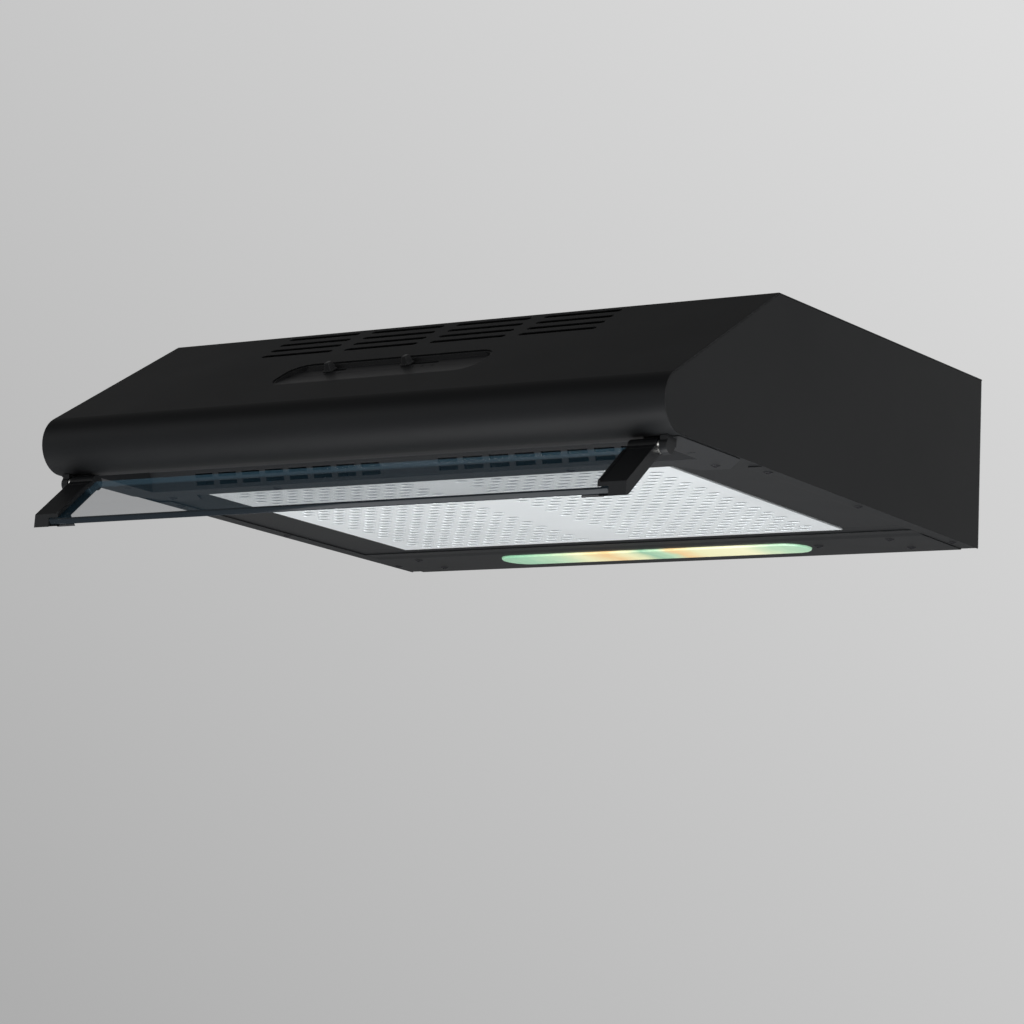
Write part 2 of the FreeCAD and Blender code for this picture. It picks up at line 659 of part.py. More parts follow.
def visor_pin(side):
    """Hinge pin, pressed into the arm and turning in the lug."""
    x0, x1 = sorted((side * (ARM_OUT - 7.5), side * (LUG_OUT - 1.3)))
    return tilt(rod((x0, -VISOR_AXIS_U, VISOR_AXIS_W), (1, 0, 0), PIN_R, x1 - x0))


def visor_washer(side):
    """Spring washer that gives the hinge its friction."""
    x0, x1 = sorted((side * (ARM_OUT + 0.1), side * (LUG_IN - 0.1)))
    ring = tube((x0, -VISOR_AXIS_U, VISOR_AXIS_W), (1, 0, 0), 4.6, PIN_R + 0.1, x1 - x0)
    return tilt(ring)


# -------------------------------------------------------------- grease filter


def perforations(z):
    """Outlines of the staggered oblong holes, two zones."""
    wires = []
    half = FILTER_W / 2.0 - PERF_EDGE
    rows = int((FILTER_U1 - FILTER_U0 - 2 * PERF_EDGE) / PERF_PITCH_Y)
    start = FILTER_U0 + PERF_EDGE + (FILTER_U1 - FILTER_U0 - 2 * PERF_EDGE - rows * PERF_PITCH_Y) / 2.0
    for row in range(rows + 1):
        u = start + row * PERF_PITCH_Y
        x = PERF_BAND + PERF_L / 2.0 + (row % 2) * PERF_PITCH_X / 2.0
        while x + PERF_L / 2.0 <= half + 0.01:
            for side in (-1, 1):
                wires.append(slot_wire(side * x, -u, PERF_L, PERF_W, z))
            x += PERF_PITCH_X
    return wires


def filter_grille():
    """Perforated aluminium panel with a folded rim."""
    x = FILTER_W / 2.0
    w = PANEL_LOW
    t = PANEL_T
    outline = Part.makePolygon([V(-x, -FILTER_U1, w), V(x, -FILTER_U1, w), V(x, -FILTER_U0, w),
                                V(-x, -FILTER_U0, w), V(-x, -FILTER_U1, w)])
    face = Part.Face([Part.Wire(outline.Edges)] + perforations(w))
    face.validate()
    sheet = face.extrude(V(0, 0, t))
    rim = box(-x, x, -FILTER_U1, -FILTER_U0, w + t, w + FILTER_RIM)
    rim = rim.cut(box(-x + t, x - t, -FILTER_U1 + t, -FILTER_U0 - t, w, w + FILTER_RIM + 1))
    rim = rim.cut(rod((-x - 1, -PIVOT_U, PIVOT_W), (1, 0, 0), PIN_R, 2 * x + 2))
    return tilt(sheet.fuse(rim))


def filter_mat():
    """Grease-absorbing fibre mat laid on the panel."""
    x = FILTER_W / 2.0 - 5.0
    return tilt(box(-x, x, -FILTER_U1 + 2.5, -PIVOT_U - 3.5, 0.95, 4.0))


def filter_wires():
    """Three spring wires that hold the mat down."""
    x = FILTER_W / 2.0 - 0.8
    wires = [tilt(rod((-x, -u, 5.0), (1, 0, 0), 0.8, 2 * x)) for u in (150.0, 223.0, 296.0)]
    return Part.makeCompound(wires)


def filter_pivot(side):
    """Stub pin in the side rim of the filter, turning in the rim of the pan."""
    x = FILTER_W / 2.0
    x0, x1 = sorted((side * (x - 3.0), side * (x + FILTER_GAP + 2.4)))
    head0, head1 = sorted((side * (x - 3.0), side * (x - 0.8)))
    pin = rod((x0, -PIVOT_U, PIVOT_W), (1, 0, 0), PIN_R, x1 - x0)
    head = rod((head0, -PIVOT_U, PIVOT_W), (1, 0, 0), PIN_R + PIVOT_HEAD, head1 - head0)
    return tilt(fuse([pin, head]))


def filter_spring(side):
    """Leaf spring on the pan that grips the front rim of the filter."""
    cx = side * 90.0
    foot = box(cx - 8, cx + 8, -FILTER_U1 - 11.0, -FILTER_U1 - 0.9, 1.85, 2.35)
    leaf = box(cx - 8, cx + 8, -FILTER_U1 - 1.4, -FILTER_U1 - 0.9, 1.85, 6.5)
    nose = rod((cx - 8, -FILTER_U1 - 0.95, 3.6), (1, 0, 0), 0.7, 16)
    return tilt(fuse([foot, leaf, nose]))


# ---------------------------------------------------------------------- lamp


def lamp_lens():
    """Domed oblong lens, open above, with a retaining flange and a screw tab."""
    low = LAMP_W - LENS_DROP
    body = slot(0, -LENS_U, LENS_L, LENS_W, low, 1.7)
    edges = [e for e in body.Edges if abs(e.BoundBox.ZMax - low) < 0.01 and abs(e.BoundBox.ZMin - low) < 0.01]
    body = body.makeFillet(1.4, edges)
    inner = slot(0, -LENS_U, LENS_L - 4.0, LENS_W - 4.0, low + 1.6, 3.0)
    edges = [e for e in inner.Edges
             if abs(e.BoundBox.ZMax - low - 1.6) < 0.01 and abs(e.BoundBox.ZMin - low - 1.6) < 0.01]
    inner = inner.makeFillet(1.0, edges)
    flange = slot(0, -LENS_U, LENS_L + 9.0, LENS_W + 7.0, LAMP_W + SHEET + 0.1, LAMP_W + SHEET + 1.5)
    tab = box(LENS_L / 2.0 - 2, LENS_SCREW_X + 4.5, -LENS_U - 5, -LENS_U + 5, LAMP_W + SHEET + 0.1,
              LAMP_W + SHEET + 1.5)
    body = fuse([body, flange, tab]).cut(inner)
    body = body.cut(rod((LENS_SCREW_X, -LENS_U, LAMP_W - 2), (0, 0, 1), 1.5, 8))
    return tilt(body)


def lamp_reflector():
    """Bright folded tray above the lens."""
    top = 32.0
    foot = SHEET + SEAM + SHEET + 0.1
    y0 = -LENS_U - 30.0
    y1 = -LENS_U + 27.0
    section = [(y0, foot), (y0, foot + 0.7), (y0 + 6.0, foot + 0.7), (y0 + 12.0, top), (y1 - 12.0, top),
               (y1 - 6.0, foot + 0.7), (y1, foot + 0.7), (y1, foot), (y1 - 6.7, foot), (y1 - 12.6, top - 0.7),
               (y0 + 12.6, top - 0.7), (y0 + 6.7, foot)]
    x = LENS_L / 2.0 + 12.0
    body = prism_x(section, -x, x)
    ends = [box(s * x - 0.35, s * x + 0.35, y0 + 12.0, y1 - 12.0, foot, top - 0.3) for s in (-1, 1)]
    body = fuse([body] + ends)
    holes = [rod((s * (x + 2) - 3 * s - 3, -LENS_U, LAMP_AXIS_W), (1, 0, 0), 7.0, 6) for s in (-1, 1)]
    return tilt(cut(body, holes))


def lamp_holder(side):
    """Small screw holder fixed in the end wall of the reflector."""
    x_end = LENS_L / 2.0 + 12.0
    inner0, inner1 = sorted((side * (x_end - 29.0), side * (x_end - 6.0)))
    neck0, neck1 = sorted((side * (x_end - 1.0), side * (x_end + 12.0)))
    cup = rod((min(side * (x_end - 28.0), side * (x_end - 0.5)), -LENS_U, LAMP_AXIS_W), (1, 0, 0), 12.0, 27.5)
    cup = cup.cut(rod((inner0, -LENS_U, LAMP_AXIS_W), (1, 0, 0), 9.4, inner1 - inner0))
    neck = rod((neck0, -LENS_U, LAMP_AXIS_W), (1, 0, 0), 6.6, neck1 - neck0)
    return tilt(fuse([cup, neck]))


def lamp_bulb(side):
    """Small screw lamp: glass candle and metal cap in one solid."""
    x_end = LENS_L / 2.0 + 12.0
    pts = [(x_end - 8.0, 0.0), (x_end - 8.0, 5.5), (x_end - 10.0, 8.6), (x_end - 30.0, 8.8),
           (x_end - 36.0, 10.6),
           (x_end - 96.0, 11.0), (x_end - 104.0, 7.0), (x_end - 107.0, 0.0)]
    poly = Part.makePolygon([V(side * x, -LENS_U, LAMP_AXIS_W + r) for x, r in pts + pts[:1]])
    body = Part.Face(poly).revolve(V(0, -LENS_U, LAMP_AXIS_W), V(1, 0, 0), 360)
    return tilt(body)


# ----------------------------------------------------------------------- fan


def scroll_outline(offset):
    """Plan of the spiral casing with its outlet chamber."""
    pts = []
    steps = 24
    for i in range(steps + 1):
        part = i / float(steps)
        angle = math.radians(180.0 + 270.0 * part)
        r = SCROLL_R0 + SCROLL_GROW * part + offset
        pts.append((FAN_X + r * math.cos(angle), FAN_Y + r * math.sin(angle)))
    left = DUCT_X - DUCT_R - 5.0 - offset
    rear = FAN_Y + SCROLL_R0 + SCROLL_GROW + offset
    front = DUCT_Y - DUCT_R - 5.0 - offset
    tongue_x = FAN_X - SCROLL_R0 - 13.0 + offset * 0.4
    pts += [(left, rear), (left, front), (tongue_x, front), (pts[0][0] - 1.0, FAN_Y + 4.0)]
    return pts


def scroll_base():
    """Lower half of the fan casing with the inlet ring."""
    outer = prism_z(scroll_outline(WALL), CASE_BOTTOM, CASE_TOP - WALL - 0.1)
    inner = prism_z(scroll_outline(0.0), CASE_BOTTOM + WALL, CASE_TOP + 5)
    body = outer.cut(inner)
    ring = tube((FAN_X, FAN_Y, CASE_BOTTOM - 4.0), (0, 0, 1), 60.0, 56.0, 4.0 + WALL + 1.5)
    body = fuse([body, ring])
    tools = [rod((FAN_X, FAN_Y, CASE_BOTTOM - 6), (0, 0, 1), 56.0, 12)]
    tools.append(box(FLAP_X0 + 2, FLAP_X1 - 2, chamber_front() - WALL - 1, chamber_front() + 1, FLAP_Z0 + 4,
                     FLAP_TOP - 6))
    for x in (FLAP_X0 - 30.0, FLAP_X1 - 6.0):
        tools.append(rod((x, FLAP_AXIS_Y, FLAP_TOP), (1, 0, 0), 2.0 + RUN, 40.0))
    return cut(body, tools)


def chamber_front():
    """Inner face of the front wall of the outlet chamber."""
    return DUCT_Y - DUCT_R - 5.0


def diverter_flap():
    """Flap that opens the way to the front vents, with its pivot rod."""
    z1 = FLAP_TOP - 0.5
    plate = box(FLAP_X0, FLAP_X1, FLAP_AXIS_Y - 1.6, FLAP_AXIS_Y + 0.2, FLAP_Z0, z1)
    barrel = rod((FLAP_X0, FLAP_AXIS_Y, FLAP_TOP), (1, 0, 0), 3.2, FLAP_X1 - FLAP_X0)
    pivot = rod((FLAP_X0 - 12.0, FLAP_AXIS_Y, FLAP_TOP), (1, 0, 0), 2.0, FLAP_X1 - FLAP_X0 + 14.0)
    return fuse([plate, barrel, pivot])


def flap_bearing():
    """Moulded eye on the cover that carries the inner end of the flap rod."""
    x = FLAP_X1 + 0.6
    block = box(x, x + 5.0, FLAP_AXIS_Y - 3.4, FLAP_AXIS_Y + 4.0, FLAP_TOP - 4.0, CASE_TOP - WALL + 0.5)
    return block.cut(rod((x - 1, FLAP_AXIS_Y, FLAP_TOP), (1, 0, 0), 2.0 + RUN, 8.0))


def diverter_lever():
    """Lever outside the casing, pressed on the flap rod."""
    x = FLAP_X0 - 12.0
    hub = rod((x, FLAP_AXIS_Y, FLAP_TOP), (1, 0, 0), 5.0, 4.0)
    arm = box(x, x + 3.0, FLAP_AXIS_Y - 3.5, FLAP_AXIS_Y + 3.5, FLAP_TOP - 46.0, FLAP_TOP)
    grip = rod((x - 4.0, FLAP_AXIS_Y, FLAP_TOP - 46.0), (1, 0, 0), 5.0, 7.0)
    return fuse([hub, arm, grip]).cut(rod((x - 5, FLAP_AXIS_Y, FLAP_TOP), (1, 0, 0), 2.0, 12.0))


def scroll_cover():
    """Upper half: flat lid, duct neck, motor seat and fixing pillars."""
    lid = prism_z(scroll_outline(WALL + 3.0), CASE_TOP - WALL, CASE_TOP)
    neck = tube((DUCT_X, DUCT_Y, CASE_TOP - WALL), (0, 0, 1), DUCT_R + 2.4, DUCT_R,
                NECK_TOP - CASE_TOP + WALL)
    rim = prism_z(scroll_outline(-0.3), CASE_TOP - WALL - 4.0, CASE_TOP - WALL + 0.5)
    rim = rim.cut(prism_z(scroll_outline(-2.0), CASE_TOP - WALL - 6.0, CASE_TOP))
    pillars = []
    for x, y in FAN_SCREWS:
        tall = -SHEET - 0.2 - (CASE_TOP - WALL)
        pillars.append(rod((x, y, CASE_TOP - WALL), (0, 0, 1), 6.0, tall))
        reach = 9.0
        ux = 1.0 if x < FAN_X else -1.0
        pillars.append(box(*sorted((x, x + ux * 34.0)), y - reach / 2.0, y + reach / 2.0,
                           CASE_TOP - WALL, CASE_TOP))
    seat = tube((FAN_X, FAN_Y, CASE_TOP - 3.0), (0, 0, 1), 46.0, 42.2, 6.0)
    body = fuse([lid, neck, rim, seat, flap_bearing()] + pillars)
    tools = [rod((DUCT_X, DUCT_Y, CASE_TOP - WALL - 9), (0, 0, 1), DUCT_R, 30)]
    tools += [rod((x, y, -11.0), (0, 0, 1), 1.5, 12) for x, y in FAN_SCREWS]
    tools += [sink(x, y) for x, y in FAN_SCREWS]
    tools.append(rod((FAN_X, FAN_Y, CASE_TOP - 5), (0, 0, 1), 9.0, 6))
    tools += [rod((x, y, CASE_TOP - 5), (0, 0, 1), 1.9, 12) for x, y in motor_screw_points()]
    return cut(body, tools)


def motor_screw_points():
    """Three fixing points of the motor."""
    return [(FAN_X + 32.0 * math.cos(a), FAN_Y + 32.0 * math.sin(a))
            for a in (math.pi / 2, math.pi * 7 / 6, math.pi * 11 / 6)]


def motor_can():
    """Motor housing, open inside, with two bearing seats."""
    body = rod((FAN_X, FAN_Y, CAN_BOTTOM), (0, 0, 1), CAN_R, CAN_TOP - CAN_BOTTOM)
    hollow = rod((FAN_X, FAN_Y, CAN_BOTTOM + 1.5), (0, 0, 1), CAN_R - 1.2, CAN_TOP - CAN_BOTTOM - 3.0)
    body = body.cut(hollow)
    seats = [tube((FAN_X, FAN_Y, z), (0, 0, 1), 11.0, 8.0, 6.5) for z in (CAN_BOTTOM + 1.0, CAN_TOP - 7.5)]
    body = fuse([body] + seats)
    tools = [rod((FAN_X, FAN_Y, CAN_BOTTOM - 1), (0, 0, 1), 6.0, CAN_TOP - CAN_BOTTOM + 2)]
    tools += [rod((x, y, CAN_TOP - 3), (0, 0, 1), 1.5, 4) for x, y in motor_screw_points()]
    tools += [box(FAN_X - 3, FAN_X + 3, FAN_Y + 30, FAN_Y + 60, CAN_TOP - 12, CAN_TOP - 6)]
    return cut(body, tools)


def motor_stator():
    """Laminated ring with its windings."""
    z0 = CAN_BOTTOM + 9.5
    z1 = CAN_TOP - 9.5
    core = tube((FAN_X, FAN_Y, z0), (0, 0, 1), CAN_R - 1.3, 21.0, z1 - z0)
    slots = []
    for i in range(8):
        a = math.radians(i * 45.0 + 22.5)
        centre = (FAN_X + 29.0 * math.cos(a), FAN_Y + 29.0 * math.sin(a), z0 - 1)
        slots.append(rod(centre, (0, 0, 1), 4.0, 40))
    core = cut(core, slots)
    coil = tube((FAN_X, FAN_Y, z1 - 0.5), (0, 0, 1), 35.0, 24.0, 1.9)
    return fuse([core, coil])


def motor_bearing(z):
    """Sintered bush."""
    return tube((FAN_X, FAN_Y, z), (0, 0, 1), 8.0, SHAFT_R + RUN / 2.0, 5.8)


def motor_rotor():
    """Rotor pack pressed on the shaft."""
    return tube((FAN_X, FAN_Y, CAN_BOTTOM + 9.5), (0, 0, 1), 20.4, SHAFT_R, CAN_TOP - CAN_BOTTOM - 19.0)


def motor_shaft():
    """Steel shaft with a flat at the impeller end."""
    body = rod((FAN_X, FAN_Y, SHAFT_END), (0, 0, 1), SHAFT_R, CAN_TOP - 0.8 - SHAFT_END)
    return body.cut(box(FAN_X + 3.0, FAN_X + 9, FAN_Y - 9, FAN_Y + 9, SHAFT_END - 1, SHAFT_END + 9.0))


def impeller():
    """Drum impeller: cupped back plate, blades and inlet ring."""
    top = CASE_TOP - WALL - 9.0
    low = top - IMPELLER_H
    cup = CAN_BOTTOM - 5.5
    plate = tube((FAN_X, FAN_Y, top - 2.0), (0, 0, 1), IMPELLER_R, 45.0, 2.0)
    wall = tube((FAN_X, FAN_Y, cup), (0, 0, 1), 47.0, 45.0, top - cup)
    floor = tube((FAN_X, FAN_Y, cup - 2.0), (0, 0, 1), 47.0, SHAFT_R, 2.5)
    hub = tube((FAN_X, FAN_Y, SHAFT_END + 0.5), (0, 0, 1), 9.0, SHAFT_R, cup - SHAFT_END)
    ring = tube((FAN_X, FAN_Y, low), (0, 0, 1), IMPELLER_R, IMPELLER_R - 12.5, 2.0)
    blades = []
    for i in range(BLADES):
        a = 360.0 * i / BLADES
        blade = box(IMPELLER_R - 12.0, IMPELLER_R - 0.6, -0.8, 0.8, low + 1.0, top - 1.0)
        blade.rotate(V(IMPELLER_R - 12.0, 0, 0), V(0, 0, 1), 24.0)
        blade.rotate(V(0, 0, 0), V(0, 0, 1), a)
        blade.translate(V(FAN_X, FAN_Y, 0))
        blades.append(blade)
    body = fuse([plate, wall, floor, hub, ring])
    body = body.fuse(blades)
    limit = rod((FAN_X, FAN_Y, low - 1), (0, 0, 1), IMPELLER_R, IMPELLER_H + 2)
    return body.common(limit)


# ------------------------------------------------------------ electrical parts


def terminal_box():
    """Moulded junction box under the top sheet."""
    body = box(BOX_X0, BOX_X1 - 6.0, BOX_Y0, BOX_Y1, BOX_LOW, BOX_TOP)
    body = body.cut(box(BOX_X0 + 2, BOX_X1 - 8.0, BOX_Y0 + 2, BOX_Y1 - 2, BOX_LOW - 1, BOX_TOP - 2))
    bosses = [rod((x, y, BOX_LOW), (0, 0, 1), 3.4, BOX_TOP - BOX_LOW - 1) for x, y in BOX_SCREWS]
    body = fuse([body] + bosses)
    tools = [rod((x, y, BOX_LOW - 1), (0, 0, 1), 1.2, 12) for x, y in BOX_SCREWS]
    tools.append(rod((CABLE_X, CABLE_Y, BOX_TOP - 6), (0, 0, 1), 8.1, 12))
    tools.append(rod((BOX_X0 - 3, -70.0, -18.0), (1, 0, 0), 3.5, 8))
    return cut(body, tools)


def terminal_lid():
    """Lid of the junction box."""
    body = box(BOX_X0, BOX_X1 - 6.0, BOX_Y0, BOX_Y1, BOX_LOW - 2.1, BOX_LOW - 0.1)
    return cut(body, [rod((x, y, BOX_LOW - 4), (0, 0, 1), 1.6, 6) for x, y in BOX_SCREWS])


def terminal_block():
    """Three-way terminal strip."""
    body = box(BOX_X0 + 10.5, BOX_X1 - 13.5, -86.0, -68.0, -29.0, -14.0)
    tools = []
    for i in range(3):
        x = BOX_X0 + 18.0 + i * 10.0
        tools.append(rod((x, -90.0, -22.0), (0, 1, 0), 2.0, 30))
        tools.append(rod((x, -77.0, -30.0), (0, 0, 1), 2.4, 8))
    return cut(body, tools)


def cable_gland():
    """Rubber inlet grommet, flush with the top sheet; no cord is fitted."""
    stem = rod((CABLE_X, CABLE_Y, -7.5), (0, 0, 1), 8.0, 7.5)
    foot = rod((CABLE_X, CABLE_Y, -7.5), (0, 0, 1), 9.6, 3.2)
    body = fuse([stem, foot])
    return body.cut(rod((CABLE_X, CABLE_Y, -9), (0, 0, 1), 3.6, 12))


def capacitor():
    """Motor run capacitor lying under the top."""
    body = rod((CAP_X, CAP_Y0, -22.0), (0, 1, 0), 15.0, 52.0)
    tags = [box(CAP_X + s * 6 - 3, CAP_X + s * 6 + 3, CAP_Y0 - 9.0, CAP_Y0 + 1.0, -22.4, -21.6)
            for s in (-1, 1)]
    return fuse([body] + tags)


def capacitor_clip():
    """Spring clip that holds the capacitor to the top sheet."""
    y0 = CAP_Y0 + 18.0
    ring = tube((CAP_X, y0, -22.0), (0, 1, 0), 16.3, 15.1, 12.0)
    ring = ring.cut(box(CAP_X - 9, CAP_X + 9, y0 - 1, y0 + 13, -40.0, -30.0))
    foot = box(CAP_X - 14, CAP_X + 14, y0, y0 + 12.0, -6.4, -5.2)
    leg = box(CAP_X - 9, CAP_X + 9, y0, y0 + 12.0, -6.0, -0.9)
    leg = leg.cut(box(CAP_X - 7.8, CAP_X + 7.8, y0 - 1, y0 + 13.0, -5.2, -2.1))
    body = fuse([ring, foot, leg])
    return body.cut(rod((CAP_X, y0 - 1, -22.0), (0, 1, 0), 15.1, 14.0))


def inner_loom():
    """Wiring from the junction box to the switches."""
    pts = [(178.0, -70.0, -18.0), (176.0, -90.0, -18.0), (186.0, -180.0, -14.0), (190.0, -290.0, -14.0),
           (170.0, -345.0, -54.0), (90.0, -374.0, -74.0)]
    r = 2.6
    parts = []
    for a, b in zip(pts[:-1], pts[1:]):
        step = V(*b) - V(*a)
        parts.append(rod(a, tuple(step), r, step.Length))
        parts.append(Part.makeSphere(r, V(*b)))
    return fuse(parts)


# ------------------------------------------------------------------ fasteners
def screw(head_r=3.6, head_h=1.9, radius=1.5, length=9.0):
    """Pan-head screw pointing up, bearing face of the head at z = 0."""
    dome = Part.makeSphere(head_r * 1.6, V(0, 0, head_r * 1.6 - head_h))
    head = rod((0, 0, -head_h), (0, 0, 1), head_r, head_h).common(dome)
    shank = rod((0, 0, -0.1), (0, 0, 1), radius, length + 0.1)
    deep = -0.4 * head_h
    cross = [box(-0.4, 0.4, -2.0, 2.0, -head_h - 1, deep), box(-2.0, 2.0, -0.4, 0.4, -head_h - 1, deep)]
    return cut(fuse([head, shank]), cross)


def flush_screw(length):
    """Countersunk screw pointing down, flat of the head at z = -0.04."""
    head = Part.makeCone(SINK_LOW, SINK_TOP, SINK_DEEP, V(0, 0, -SINK_DEEP - 0.04))
    shank = rod((0, 0, -length), (0, 0, 1), 1.5, length - SINK_DEEP)
    cross = [box(-0.4, 0.4, -2.0, 2.0, -1.0, 1.0), box(-2.0, 2.0, -0.4, 0.4, -1.0, 1.0)]
    return cut(fuse([head, shank]), cross)


def sink(x, y):
    """Tool for the countersink of a fan screw, a small clearance all round."""
    r0 = SINK_LOW + 0.15
    r1 = SINK_TOP + 0.17
    return Part.makeCone(r0, r1, SINK_DEEP + 0.06, V(x, y, -SINK_DEEP - 0.04))


def placed(body, point, axis=(0, 0, 1)):
    """A fastener moved to its point and turned to its axis."""
    out = body.copy()
    rot = FreeCAD.Rotation(V(0, 0, 1), V(*axis))
    out.Placement = FreeCAD.Placement(V(*point), rot)
    return out


def in_base(body, x, u, w):
    """A fastener placed square to the underside."""
    out = body.copy()
    out.translate(V(x, -u, w))
    return tilt(out)


def pan_screws():
    """Side flanges to the underside sheet."""
    one = screw(length=6.0, head_h=1.1)
    return [in_base(one, x, u, -0.05) for x in (-HALF + 7.0, HALF - 7.0) for u in PAN_SCREW_U]


def moulding_screws():
    """Front strip to the underside sheet."""
    one = screw(length=6.0, head_h=1.1)
    return [in_base(one, x, u, -0.85) for x, u in MOULD_SCREWS]


def lamp_panel_screws():
    """Lamp strip to the underside sheet."""
    one = screw(length=7.0, head_h=1.1)
    return [in_base(one, x, u, LAMP_W - 0.05) for x, u in LAMP_PANEL_SCREWS]


def lens_screw():
    """Screw that releases the lens."""
    return [in_base(screw(length=4.5, head_h=1.3), LENS_SCREW_X, LENS_U, LAMP_W - 0.05)]


def fan_screws():
    """Top sheet to the fan casing, from above, heads flush with the top."""
    one = flush_screw(8.0)
    return [placed(one, (x, y, 0.0)) for x, y in FAN_SCREWS]


def motor_screws():
    """Motor to the casing lid, from above."""
    one = screw(head_r=3.2, head_h=1.8, radius=1.5, length=4.6)
    return [placed(one, (x, y, CASE_TOP + 0.05), (0, 0, -1)) for x, y in motor_screw_points()]


def box_screws():
    """Lid screws of the junction box."""
    one = screw(head_r=2.6, head_h=1.6, radius=1.2, length=9.0)
    return [placed(one, (x, y, BOX_LOW - 2.15)) for x, y in BOX_SCREWS]


def canopy_rivets():
    """Flush rivets joining the top to the side flanges."""
    head = Part.makeCone(RIVET_R, RIVET_HEAD_R, SHEET - 0.08, V(0, 0, 0.04 - SHEET))
    shank = rod((0, 0, -3.2), (0, 0, 1), RIVET_R, 2.6)
    tail = rod((0, 0, -3.4), (0, 0, 1), 2.3, 1.4)
    one = fuse([head, shank, tail])
    return [placed(one, (x, y, 0.0)) for x in (-HALF + 7.0, HALF - 7.0) for y in RIVETS_Y]


# ---------------------------------------------------------------------- nodes
def build():
    """Every node by name."""
    nodes = {
        "canopy_sheet": canopy_sheet(),
        "side_panel_left": side_panel(-1),
        "side_panel_right": side_panel(1),
        "back_panel": back_panel(),
        "bottom_pan": bottom_pan(),
        "lamp_panel": lamp_panel(),
        "front_moulding": front_moulding(),
        "visor_glass": visor_glass(),
        "filter_grille": filter_grille(),
        "filter_mat": filter_mat(),
        "filter_wires": filter_wires(),
        "lamp_lens": lamp_lens(),
        "lamp_reflector": lamp_reflector(),
        "control_tray": control_tray(),
        "light_knob": knob(LIGHT_X),
        "speed_knob": knob(SPEED_X),
        "light_switch": switch_body(LIGHT_X, LIGHT_TRAVEL),
        "speed_switch": switch_body(SPEED_X, SPEED_TRAVEL),
        "switch_plate": switch_plate(),
        "scroll_base": scroll_base(),
        "scroll_cover": scroll_cover(),
        "diverter_flap": diverter_flap(),
        "diverter_lever": diverter_lever(),
        "motor_can": motor_can(),
        "motor_stator": motor_stator(),
        "motor_bearing_lower": motor_bearing(CAN_BOTTOM + 1.6),
        "motor_bearing_upper": motor_bearing(CAN_TOP - 7.4),
        "motor_rotor": motor_rotor(),
        "motor_shaft": motor_shaft(),
        "impeller": impeller(),
        "terminal_box": terminal_box(),
        "terminal_lid": terminal_lid(),
        "terminal_block": terminal_block(),
        "cable_gland": cable_gland(),
        "capacitor": capacitor(),
        "capacitor_clip": capacitor_clip(),
        "inner_loom": inner_loom(),
    }
    for side, word in ((-1, "left"), (1, "right")):
        nodes["visor_arm_" + word] = visor_arm(side)
        nodes["visor_pin_" + word] = visor_pin(side)
        nodes["visor_washer_" + word] = visor_washer(side)
        nodes["filter_pivot_" + word] = filter_pivot(side)
        nodes["filter_spring_" + word] = filter_spring(side)
        nodes["lamp_holder_" + word] = lamp_holder(side)
        nodes["lamp_bulb_" + word] = lamp_bulb(side)
    groups = {
        "pan_screws": pan_screws(),
        "moulding_screws": moulding_screws(),
        "lamp_panel_screws": lamp_panel_screws(),
        "lens_screw": lens_screw(),
        "fan_screws": fan_screws(),
        "motor_screws": motor_screws(),
        "box_screws": box_screws(),
        "canopy_rivets": canopy_rivets(),
    }
    for name, solids in groups.items():
        nodes[name] = Part.makeCompound(solids)
    return nodes


for node_name, node_shape in build().items():
    save(node_name, node_shape)
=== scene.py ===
"""Looks for a slim under-cabinet range hood with a fold-out smoked glass visor.

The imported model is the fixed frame.  Every sheet, moulding and inner part gets a
finish of its own, and the parts whose real surface is rounded, ribbed, fluted or
fibrous are built here as numpy surfaces that stand for their plain solids.
Metres throughout: x to the right, y into the wall, z up from the cabinet underside.
"""

import logging
import math
from dataclasses import dataclass, field
from enum import Enum
from typing import Any

import bpy
import numpy as np
from mathutils import Matrix, Vector


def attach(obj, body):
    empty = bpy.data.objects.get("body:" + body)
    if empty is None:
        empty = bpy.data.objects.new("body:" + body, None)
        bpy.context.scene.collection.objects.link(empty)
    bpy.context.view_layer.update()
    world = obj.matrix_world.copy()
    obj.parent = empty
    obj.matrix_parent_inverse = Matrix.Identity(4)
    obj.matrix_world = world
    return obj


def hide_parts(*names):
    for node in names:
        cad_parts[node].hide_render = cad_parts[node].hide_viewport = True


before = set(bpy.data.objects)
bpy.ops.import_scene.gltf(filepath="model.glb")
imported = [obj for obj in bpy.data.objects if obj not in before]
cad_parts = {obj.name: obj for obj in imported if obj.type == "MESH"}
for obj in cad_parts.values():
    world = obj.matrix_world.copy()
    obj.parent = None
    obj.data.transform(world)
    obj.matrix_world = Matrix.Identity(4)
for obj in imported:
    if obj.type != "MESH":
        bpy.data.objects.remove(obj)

log = logging.getLogger("range_hood")
MM = 0.001
VISOR_LEAN = 40.0
VISOR_AXIS = (-0.43703, -0.12111)
